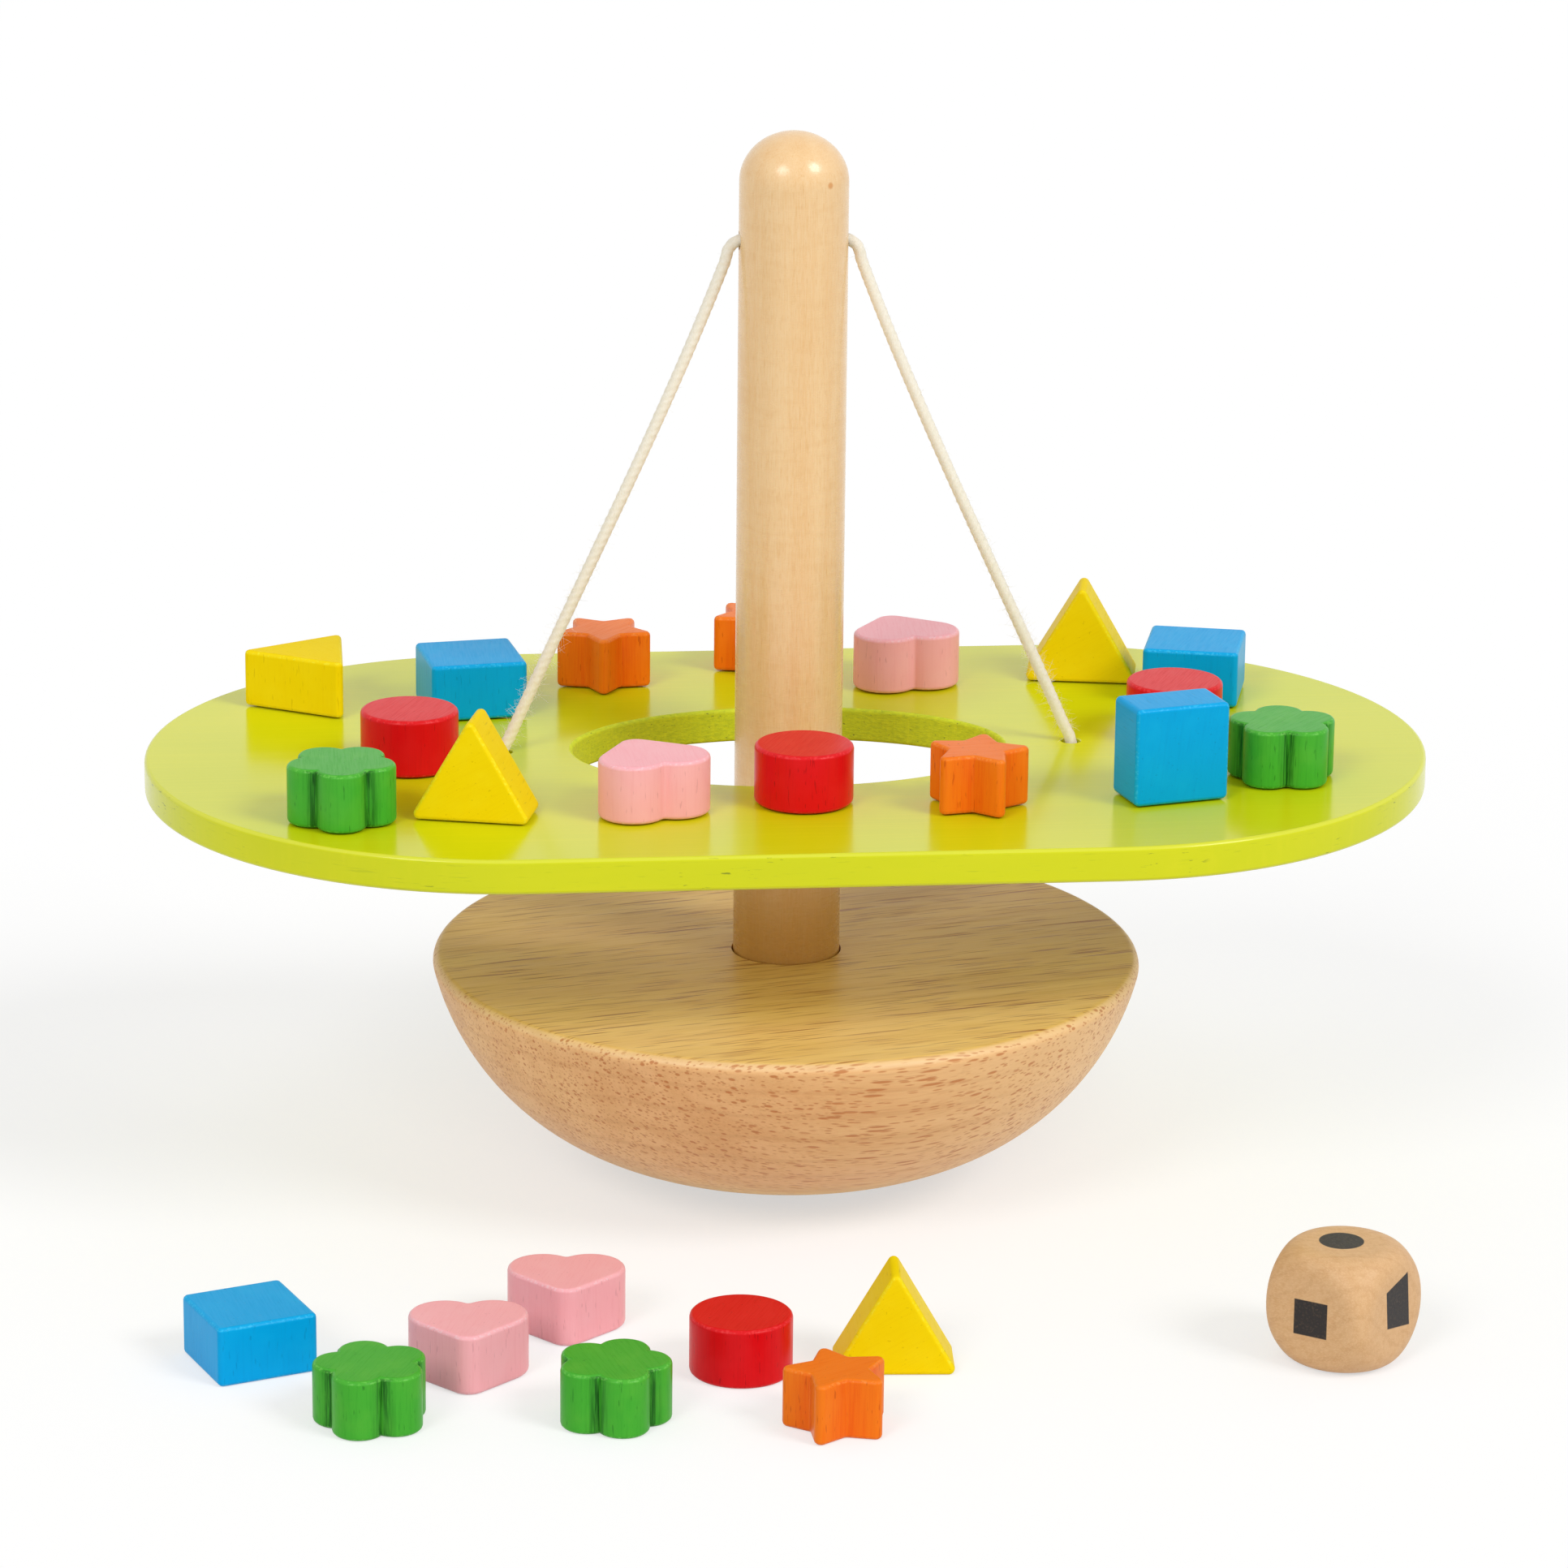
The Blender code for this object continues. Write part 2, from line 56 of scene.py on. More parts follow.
# Sizes repeated from the CAD part: lengths in metres, angles in radians, the die's yaw in degrees
BASE_RADIUS = 0.083
BASE_HEIGHT = 0.052
BASE_RIM_ROUND = 0.0023
ROLL_RADIUS = 0.150
ROLL_ANGLE = math.radians(16)
SIDE_ANGLE = math.radians(76)
SIDE_FULLNESS = 0.36
FOOT_FLAT_RADIUS = 0.007
ROLL_CENTRE = math.sqrt(ROLL_RADIUS ** 2 - FOOT_FLAT_RADIUS ** 2)
SOCKET_DEPTH = 0.030
SEAT_GAP = 0.0003
MAST_RADIUS = 0.0125
MAST_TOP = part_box("mast")[1].z
MAST_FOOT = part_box("mast")[0].z
DOME_HEIGHT = 0.0115
MAST_HOLE = MAST_TOP - 0.025
HOLE_RADIUS = 0.0022
CORD_RADIUS = 0.00125
CORD_BEND_OUT = 0.0032
CORD_BEND_DOWN = 0.0050
DECK_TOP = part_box("deck")[1].z
DECK_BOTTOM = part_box("deck")[0].z
DECK_HALF_STRAIGHT = 0.0653
DECK_END_RADIUS = 0.084
DECK_HALF_LENGTH = DECK_HALF_STRAIGHT + DECK_END_RADIUS
OVAL = (0.0502, 0.0316)
HOLE_SPAN = 0.0665
BLOCK_THICKNESS = 0.0135
CYLINDER_RADIUS = 0.01125
HALF_SQUARE = 0.0114
TRIANGLE_SIDE = 0.0280
TRIANGLE_RADIUS = TRIANGLE_SIDE / math.sqrt(3)
STAR_RADII = (0.0133, 0.0070)
STAR_ROUNDS = (0.0015, 0.0008)
DIE_SIDE = 0.0266
DIE_BALL_RADIUS = 0.01745
DIE_SOFTNESS = 18
DIE_SWELL = 1.012
SPARE_ROW = -(BASE_RADIUS + 0.040)
DIE_PLACE = (0.1088, SPARE_ROW - 0.0113)
DIE_YAW = -44

# Finer sizes that only the looks have: lengths in metres, edge angles in degrees
EDGE_ANGLE = 50
ROPE_EDGE_ANGLE = 80
DRILLED_EDGE_ANGLE = 35
DRILL_REACH = 0.03
SOCKET_LIP = 0.00015
SOCKET_COLLAR = 0.004
DECK_RIM_ROUND = 0.0010
OVAL_RIM_ROUND = 0.0009
HOLE_RIM_ROUND = 0.0004
BLOCK_RIM_ROUND = 0.0010
BLOCK_CORNER_ROUND = 0.0013
CORD_PUFF = 1.1
PLY_PITCH = 0.0062
CORD_SPACING = 0.00045
KNOT_PUFF = 0.96
KNOT_SIZE = 0.00105
KNOT_START = 0.0002
KNOT_DROP = 0.0042
KNOT_PITCH = 0.0052
KNOT_SPACING = 0.0004
KNOT_TAIL = (0.0002, 0.0004, -0.0036)
FIBRE_COUNT = 1700
FIBRE_SEED = 11
FIBRE_RADIUS = 0.000030
FIBRE_REACH = (0.0005, 0.0015)
PIN_KNOT = (0.0072, -0.0102, MAST_TOP - 0.0106)
# Heights over which the mast's foot gets painted shade
FOOT_SHADE_HEIGHTS = (BASE_HEIGHT + 0.034, BASE_HEIGHT + 0.004)

# Steps along curves and faces
BASE_STEPS = 160
MAST_STEPS = 96
DOME_STEPS = 24
WALL_STEPS = 12
SIDE_STEPS = 32
CYLINDER_STEPS = 96
OVAL_STEPS = 144
HOLE_STEPS = 32
RIM_STEPS = 4
DIE_CUTS = 47
KNOT_STEPS = 24

# Values of the stage, the light and the camera
FLOOR_HALF = 6.0
FLOOR_DROP = 0.00005
FLOOR_BOUNCE = 0.80
FLOOR_SEEN = 0.44
FLOOR_GLOW = 0.59
WORLD_FILL = 0.52
WORLD_SEEN = 1.0
WHITE = (1.0, 1.0, 1.0)
LAMP_SPREAD = math.radians(22)
# Lamps: name, azimuth and height in degrees, strength
LAMPS = (("key_left", -36, 38, 0.85), ("key_right", 50, 40, 1.22))
IMAGE_SIDE = 1932
FOCAL_PIXELS = 7469.8
SENSOR_WIDTH = 36.0
CAMERA_DISTANCE = 1.4155
CAMERA_ELEVATION = math.radians(16.9)
CAMERA_YAW = math.radians(-6.014)
CAMERA_ROLL = math.radians(0.6)
CAMERA_AIM = Vector((-0.00089, 0.0, 0.09222))

# Blocks on the deck: shares of its half length and end radius, turn in degrees, on edge or not
DECK_BLOCKS = {
    "yellow_triangle_1": (-0.739, 0.497, 89, False),
    "blue_square_1": (-0.482, 0.435, 8, False),
    "orange_star_1": (-0.261, 0.668, 32, False),
    "orange_star_2": (-0.002, 0.810, 35, False),
    "pink_heart_1": (0.221, 0.621, -168, False),
    "yellow_triangle_2": (0.516, 0.644, -11, True),
    "blue_square_2": (0.681, 0.437, -15, False),
    "red_cylinder_1": (0.610, 0.023, 0, False),
    "blue_square_3": (0.552, -0.549, 14, True),
    "green_flower_1": (0.740, -0.390, -3, False),
    "orange_star_3": (0.252, -0.599, -15, False),
    "red_cylinder_2": (-0.007, -0.527, 0, False),
    "pink_heart_2": (-0.244, -0.581, -162, False),
    "yellow_triangle_3": (-0.505, -0.592, -15, True),
    "red_cylinder_3": (-0.593, -0.123, 0, False),
    "green_flower_2": (-0.706, -0.602, 34, False),
}
# Spare blocks on the table: x and distance from the spare row in metres, turn in degrees, on edge or not
SPARE_BLOCKS = {
    "blue_square_4": (-0.1286, 0.0037, 20, False),
    "green_flower_3": (-0.1036, -0.0308, 11, False),
    "pink_heart_3": (-0.0818, -0.0077, -3, False),
    "pink_heart_4": (-0.0589, 0.0182, -4, False),
    "green_flower_4": (-0.0524, -0.0335, 49, False),
    "red_cylinder_4": (-0.0229, -0.0093, 0, False),
    "orange_star_4": (-0.0055, -0.0418, 10, False),
    "yellow_triangle_4": (0.0105, -0.0085, -4, True),
}
# Block paints: colours, turn of the saw lines in degrees, shares of flaws, grain and gloss, and any groove's
# painted shade
PAINTS = {
    "red_cylinder": dict(colour=(0.74, 0.004, 0.008), dark=(0.54, 0.003, 0.006), pale=(0.80, 0.014, 0.018),
                         saw_turn=25, flaws=0.5, grain=0.30, gloss=0.12),
    "blue_square": dict(colour=(0.001, 0.385, 0.80), dark=(0.001, 0.29, 0.68), pale=(0.005, 0.46, 0.85),
                        saw_turn=8, flaws=0.3, grain=0.28, gloss=0.07),
    "yellow_triangle": dict(colour=(0.94, 0.69, 0.003), dark=(0.83, 0.53, 0.002), pale=(0.97, 0.75, 0.012),
                            saw_turn=60, flaws=0.3, grain=0.18, gloss=0.01),
    "orange_star": dict(colour=(0.91, 0.195, 0.006), dark=(0.82, 0.100, 0.002), pale=(0.92, 0.235, 0.016),
                        saw_turn=70, flaws=0.5, grain=0.35, gloss=0.12,
                        groove_shade=dict(outer=0.0108, inner=0.0072, shade=1.0, least=0.3, most=0.55)),
    "pink_heart": dict(colour=(0.97, 0.445, 0.485), dark=(0.86, 0.285, 0.330), pale=(0.98, 0.520, 0.555),
                       saw_turn=15, flaws=0.3, grain=0.22, gloss=0.12),
    "green_flower": dict(colour=(0.060, 0.415, 0.030), dark=(0.018, 0.235, 0.016), pale=(0.13, 0.50, 0.045),
                         saw_turn=35, flaws=0.5, grain=0.25, gloss=0.12,
                         groove_shade=dict(outer=0.0116, inner=0.0099, shade=0.42, least=0.2, most=0.95)),
}


# Shader writing

class Shader:
    """A material or a world, and short ways to add nodes to it. A call that adds nodes returns a socket."""

    def __init__(self, name, library=bpy.data.materials, output="OutputMaterial"):
        self.owner = library.new(name)
        self.owner.use_nodes = True
        self.tree = self.owner.node_tree
        self.tree.nodes.clear()
        self.output = self.tree.nodes.new("ShaderNode" + output)

    def put(self, socket, value):
        if isinstance(value, bpy.types.NodeSocket):
            self.tree.links.new(value, socket)
        elif socket.type == "RGBA":
            socket.default_value = (*value, 1.0)
        else:
            socket.default_value = value

    def add(self, kind, inputs=None, out=0, **settings):
        node = self.tree.nodes.new("ShaderNode" + kind)
        for key, value in settings.items():
            setattr(node, key, value)
        for key, value in (inputs or {}).items():
            self.put(node.inputs[key], value)
        return node.outputs[out]

    def show(self, surface):
        self.tree.links.new(surface, self.output.inputs["Surface"])
        return self.owner

    def coords(self):
        return self.add("TexCoord", out="Object")

    def axis(self, vector, name):
        return self.add("SeparateXYZ", {0: vector}, out=name)

    def upward(self):
        """Z of the surface's normal in the piece's own frame."""
        return self.axis(self.add("TexCoord", out="Normal"), "Z")

    def flatness(self):
        """1 where the surface faces along the piece's own Z axis, 0 where it faces across it."""
        return self.math("ABSOLUTE", self.upward())

    def seen(self):
        """1 for rays that show a surface to the camera: seen directly, in gloss or through glass."""
        rays = self.add("LightPath").node.outputs
        share = self.larger(rays["Is Camera Ray"], rays["Is Glossy Ray"])
        return self.larger(share, rays["Is Transmission Ray"])

    def math(self, operation, a, b=0.0, c=0.0):
        return self.add("Math", {0: a, 1: b, 2: c}, operation=operation)

    def times(self, a, b):
        return self.math("MULTIPLY", a, b)

    def larger(self, a, b):
        return self.math("MAXIMUM", a, b)

    def opposite(self, share):
        return self.math("SUBTRACT", 1.0, share)

    def between(self, a, b, share):
        """Numbers mixed by a share."""
        return self.math("MULTIPLY_ADD", self.math("SUBTRACT", b, a), share, a)

    def distance(self, vector, point):
        return self.add("VectorMath", {0: vector, 1: point}, out="Value", operation="DISTANCE")

    def mapping(self, vector, cell, turn=(0, 0, 0)):
        """Turn the coordinates by degrees, then count them in cells of the given size in millimetres."""
        turned = self.add("Mapping", {"Vector": vector, "Rotation": tuple(math.radians(a) for a in turn)})
        return self.add("Mapping", {"Vector": turned, "Scale": tuple(1 / (size * MM) for size in cell)})

    def noise(self, vector, cell, detail, rough=0.5, distortion=0.0, turn=(0, 0, 0)):
        place = self.mapping(vector, cell, turn)
        return self.add("TexNoise", {"Vector": place, "Scale": 1.0, "Detail": detail, "Roughness": rough,
                                     "Distortion": distortion})

    def cells(self, vector, out="Distance"):
        return self.add("TexVoronoi", {"Vector": vector, "Scale": 1.0}, out=out)

    def ramp(self, value, low, high, start=0.0, end=1.0):
        """Value eased from the range low to high onto start to end."""
        return self.add("MapRange", {"Value": value, "From Min": low, "From Max": high, "To Min": start,
                                     "To Max": end}, interpolation_type="SMOOTHSTEP")

    def mix(self, share, a, b):
        node = self.tree.nodes.new("ShaderNodeMix")
        node.data_type = "RGBA"
        self.put(node.inputs["Factor"], share)
        self.put(node.inputs[6], a)
        self.put(node.inputs[7], b)
        return node.outputs[2]

    def stain(self, colour, other, pattern, low, high, most=1.0):
        """Colour turned to another where a pattern rises from low to high, by the share most."""
        return self.mix(self.ramp(pattern, low, high, 0.0, most), colour, other)

    def bump(self, height, strength, distance):
        return self.add("Bump", {"Height": height, "Strength": strength, "Distance": distance})

    def finish(self, colour, roughness, normal, **constants):
        inputs = {"Base Color": colour, "Roughness": roughness, "Normal": normal}
        inputs.update({key.replace("_", " "): value for key, value in constants.items()})
        return self.show(self.add("BsdfPrincipled", inputs))


def base_wood():
    """Open-pored hardwood: fine dashes along the grain, pore dots where the turned side cuts across it."""
    # The last colour on the next line paints a highlight on the rounded rim.
    honey, straw, wear_and_highlight = (0.92, 0.57, 0.24), (0.94, 0.63, 0.28), (0.97, 0.74, 0.42)
    # The deep brown on the next line paints the deck's shade on the top's back right.
    painted_deck_shade, right_pale, pore = (0.46, 0.235, 0.065), (0.95, 0.64, 0.33), (0.53, 0.160, 0.034)
    grain = (0, 0, -14)
    rings_per_metre = 150.0
    s = Shader("base_hardwood")
    place = s.coords()
    top = s.ramp(s.flatness(), 0.75, 0.97)
    side = s.opposite(top)
    warp = s.noise(place, (60, 22, 14), 2.0, turn=grain)
    bands = s.noise(place, (150, 8, 9), 3.0, 0.55, 0.5, grain)
    streaks = s.noise(place, (24, 0.55, 0.6), 2.0, 0.55, turn=grain)
    fine = s.noise(place, (9, 0.3, 0.3), 2.0, 0.6, turn=grain)
    patches = s.noise(place, (30, 9, 8), 2.0, turn=grain)
    ring_phase = s.math("MULTIPLY_ADD", warp, 1.0, s.times(s.axis(place, "Z"), rings_per_metre))
    rings = s.ramp(s.math("SINE", s.times(ring_phase, math.tau)), 0.7, 1.0, 0.0, 0.2)

    def pores(cell, radius):
        """Spots in cells of this size, some of them faint by chance."""
        space = s.mapping(place, cell, grain)
        chance = s.add("SeparateColor", {0: s.cells(space, "Color")}, out="Red")
        return s.times(s.ramp(s.cells(space), radius, radius * 0.55), s.ramp(chance, 0.0, 0.3))

    # The top's tones are yellower and less blue than the side's: partly face grain against end grain, partly
    # painted yellow-green bounce light from the lime deck above.
    pale = s.mix(top, (0.89, 0.510, 0.228), (0.90, 0.595, 0.175))
    deep = s.mix(top, (0.77, 0.395, 0.152), (0.76, 0.450, 0.108))
    dark = s.mix(top, (0.56, 0.225, 0.070), (0.38, 0.120, 0.022))
    colour = s.stain(pale, deep, bands, 0.34, 0.66, 0.75)
    colour = s.stain(colour, honey, warp, 0.35, 0.75, 0.35)
    colour = s.mix(s.times(rings, side), colour, dark)
    colour = s.stain(colour, dark, streaks, 0.54, 0.78, 0.45)
    colour = s.stain(colour, straw, fine, 0.38, 0.75, 0.3)
    # Painted shade: the top darkens towards the back right, under the deck, in place of the deck's shadow.
    back_right = s.add("VectorMath", {0: place, 1: (0.6, 0.8, 0.0)}, out="Value", operation="DOT_PRODUCT")
    colour = s.mix(s.times(s.ramp(back_right, 0.0, 0.07, 0.0, 0.4), top), colour, painted_deck_shade)
    dash = s.larger(pores((46, 2.0, 2.0), 0.24), pores((26, 1.3, 1.3), 0.27))
    dash = s.larger(dash, s.times(pores((15, 0.8, 0.8), 0.33), 0.7))
    dash = s.times(dash, s.times(s.ramp(patches, 0.35, 0.62, 0.5, 1.0), top))
    large = s.times(pores((12, 1.4, 1.4), 0.34), s.ramp(patches, 0.28, 0.5, 0.55, 1.0))
    small = s.times(pores((5, 0.75, 0.75), 0.36), 0.8)
    hole = s.times(s.larger(large, small), side)
    colour = s.mix(s.times(dash, 0.92), colour, dark)
    upward = s.upward()
    # Painted highlight: the rounded rim between top and side is paled as if it caught the light.
    rim = s.times(s.ramp(upward, 0.1, 0.5), s.ramp(upward, 0.98, 0.8))
    colour = s.mix(s.times(rim, 0.4), colour, wear_and_highlight)
    # The side turns paler towards the right.
    right = s.ramp(s.axis(place, "X"), 0.0, 0.08, 0.0, 0.5)
    colour = s.mix(s.times(right, side), colour, right_pale)
    colour = s.mix(s.times(hole, 0.76), colour, pore)
    sunk = s.larger(hole, s.times(dash, 0.3))
    normal = s.bump(s.math("SUBTRACT", s.times(fine, 0.25), sunk), 0.3, 0.00012)
    return s.finish(colour, s.ramp(streaks, 0.3, 0.8, 0.40, 0.54), normal, Specular_IOR_Level=0.34,
                    Coat_Weight=0.05, Coat_Roughness=0.25)


def mast_wood():
    """Pale close-grained wood, grain up the mast, with short fibres, a faint cross figure and a pin knot."""
    pale, warm, cream = (0.90, 0.605, 0.305), (0.87, 0.550, 0.255), (0.95, 0.71, 0.42)
    tan, short_dark, broad_dark = (0.76, 0.435, 0.165), (0.77, 0.440, 0.160), (0.80, 0.48, 0.195)
    # The last colour on the next line paints shade and the base's reflection on the mast's foot.
    fleck, pin, foot = (0.62, 0.33, 0.11), (0.66, 0.26, 0.05), (0.60, 0.28, 0.035)
    s = Shader("mast_pale_wood")
    place = s.coords()
    fine = s.noise(place, (0.24, 0.24, 6), 3.0, 0.65)
    fibres = s.noise(place, (0.55, 0.55, 2.4), 3.0, 0.65)
    long = s.noise(place, (3.5, 3.5, 160), 2.0, 0.5, 0.4)
    figure = s.noise(place, (7, 7, 1.8), 3.0, 0.6)
    broad = s.noise(place, (16, 16, 60), 1.0)
    flecks = s.noise(place, (0.30, 0.30, 2.2), 0.0)
    colour = s.stain(pale, warm, long, 0.3, 0.7)
    colour = s.stain(colour, tan, figure, 0.42, 0.75, 0.3)
    colour = s.stain(colour, short_dark, fibres, 0.48, 0.72, 0.45)
    colour = s.stain(colour, cream, fine, 0.35, 0.75, 0.5)
    colour = s.stain(colour, broad_dark, broad, 0.45, 0.75, 0.3)
    colour = s.stain(colour, fleck, flecks, 0.70, 0.78, 0.16)
    colour = s.stain(colour, pin, s.distance(place, PIN_KNOT), 0.0010, 0.0004, 0.75)
    # Painted shade and painted reflection of the brown base: the mast darkens and browns towards its foot.
    colour = s.stain(colour, foot, s.axis(place, "Z"), *FOOT_SHADE_HEIGHTS, 0.7)
    normal = s.bump(s.math("ADD", fine, fibres), 0.14, 0.00008)
    return s.finish(colour, s.ramp(figure, 0.3, 0.7, 0.24, 0.32), normal, Specular_IOR_Level=0.45,
                    Coat_Weight=0.3, Coat_Roughness=0.16)


def lime_paint():
    """Glossy lime paint over a board, with brush lines on top and small pits along its edge."""
    lime, deep_lime, bright = (0.695, 0.720, 0.004), (0.650, 0.690, 0.003), (0.765, 0.745, 0.010)
    # The middle colour on the next line paints a highlight along the rounded rims.
    scuffed, rim_highlight, pitted = (0.42, 0.50, 0.006), (0.86, 0.86, 0.16), (0.20, 0.25, 0.01)
    s = Shader("deck_lime_paint")
    place = s.coords()
    flat = s.flatness()
    side = s.opposite(s.ramp(flat, 0.3, 0.8))
    lines = s.noise(place, (45, 1.0, 9), 3.0, 0.55)
    broad = s.noise(place, (70, 45, 30), 2.0)
    pits = s.noise(place, (3.2, 3.2, 0.7), 2.0)
    where = s.noise(place, (20, 20, 30), 1.0)
    scuffs = s.noise(place, (7, 7, 0.5), 2.0, 0.6)
    pit = s.times(s.times(s.ramp(pits, 0.66, 0.72), s.ramp(where, 0.52, 0.62)), side)
    scuff = s.times(s.ramp(scuffs, 0.62, 0.72), side)
    rim = s.times(s.ramp(flat, 0.25, 0.5), s.ramp(flat, 0.97, 0.8))
    colour = s.stain(lime, deep_lime, broad, 0.3, 0.7)
    colour = s.stain(colour, bright, lines, 0.45, 0.75, 0.28)
    colour = s.mix(s.times(scuff, 0.35), colour, scuffed)
    # Painted highlight: a pale band along the rounded rims.
    colour = s.mix(s.times(rim, 0.25), colour, rim_highlight)
    colour = s.mix(s.times(pit, 0.8), colour, pitted)
    relief = s.math("SUBTRACT", s.times(lines, 0.35), s.math("ADD", pit, scuff))
    normal = s.bump(relief, 0.12, 0.00010)
    return s.finish(colour, s.ramp(lines, 0.3, 0.8, 0.17, 0.23), normal, Specular_IOR_Level=0.24,
                    Coat_Weight=0.06, Coat_Roughness=0.08)


def sawn_lime():
    """The oval's wall: paint soaked into a rough sawn edge."""
    lime, soaked = (0.72, 0.80, 0.008), (0.52, 0.62, 0.006)
    bright, pitted = (0.80, 0.84, 0.012), (0.10, 0.13, 0.008)
    s = Shader("deck_sawn_edge")
    place = s.coords()
    fibres = s.noise(place, (1.3, 1.3, 0.4), 4.0, 0.7)
    saw = s.noise(place, (0.9, 0.9, 6), 2.0, 0.6)
    specks = s.noise(place, (0.8, 0.8, 0.5), 1.0)
    colour = s.stain(lime, soaked, fibres, 0.3, 0.7)
    colour = s.stain(colour, bright, saw, 0.5, 0.75, 0.4)
    colour = s.stain(colour, pitted, specks, 0.71, 0.78, 0.8)
    normal = s.bump(s.math("SUBTRACT", fibres, s.ramp(specks, 0.68, 0.78)), 0.5, 0.0003)
    return s.finish(colour, 0.62, normal)


def block_paint(name, colour, dark, pale, saw_turn, flaws, grain, gloss, groove_shade=None):
    """Satin paint on a small sawn block: streaks down its sides, saw lines and specks across its faces.

    A groove gets painted shade from its outer radius inwards, with the dark colour times its shade.
    """
    flaw_colour = tuple(0.6 * c for c in dark)
    chip_and_highlight_colour = tuple(min(0.95, 1.25 * c + 0.06) for c in pale)
    pattern_spread = (0.37, 0.61, 0.23)
    s = Shader(name)
    luck = s.add("ObjectInfo", out="Random")
    spread = s.add("VectorMath", {0: pattern_spread, "Scale": luck}, operation="SCALE")
    own = s.coords()
    place = s.add("VectorMath", {0: own, 1: spread}, operation="ADD")
    flat = s.flatness()
    face = s.ramp(flat, 0.6, 0.95)
    side = s.opposite(face)
    streaks = s.noise(place, (0.5, 0.5, 11), 3.0, 0.6)
    lines = s.noise(place, (0.4, 8, 3), 3.0, 0.6, turn=(0, 0, saw_turn))
    fibres = s.between(streaks, lines, face)
    blotch = s.noise(place, (7, 7, 7), 2.0)
    nicks = s.noise(place, (0.55, 0.55, 3.5), 1.0)
    specks = s.noise(place, (0.7, 0.7, 0.7), 1.0)
    nick = s.times(s.ramp(nicks, 0.66, 0.74), side)
    speck = s.times(s.ramp(specks, 0.70, 0.77), face)
    flaw = s.larger(nick, speck)
    tint = s.stain(colour, dark, fibres, 0.46, 0.74, grain)
    tint = s.stain(tint, pale, blotch, 0.42, 0.75, 0.3)
    # Painted shade in the grooves: the side walls darken inwards between the points or petals, streaked.
    if groove_shade:
        x, y = s.axis(own, "X"), s.axis(own, "Y")
        reach = s.math("SQRT", s.math("ADD", s.math("POWER", x, 2.0), s.math("POWER", y, 2.0)))
        deep = s.times(s.ramp(reach, groove_shade["outer"], groove_shade["inner"]), side)
        stain = s.times(deep, s.ramp(streaks, 0.36, 0.60, groove_shade["least"], groove_shade["most"]))
        tint = s.mix(stain, tint, tuple(groove_shade["shade"] * c for c in dark))
    tint = s.mix(s.times(flaw, flaws), tint, flaw_colour)
    # Pale rounded rims: partly chipped paint, partly a painted highlight where the edges would catch the
    # light.
    rim = s.times(s.ramp(flat, 0.2, 0.45), s.ramp(flat, 0.98, 0.85))
    chips_and_highlight = s.times(rim, s.ramp(specks, 0.5, 0.66, 0.08, 0.45))
    tint = s.mix(chips_and_highlight, tint, chip_and_highlight_colour)
    normal = s.bump(s.math("SUBTRACT", s.times(fibres, 0.8), flaw), 0.2, 0.00012)
    rough = s.between(s.ramp(streaks, 0.3, 0.75, 0.28, 0.38), s.ramp(lines, 0.3, 0.75, 0.28, 0.40), face)
    return s.finish(tint, rough, normal, Specular_IOR_Level=gloss, Coat_Weight=gloss * 0.2,
                    Coat_Roughness=0.2)


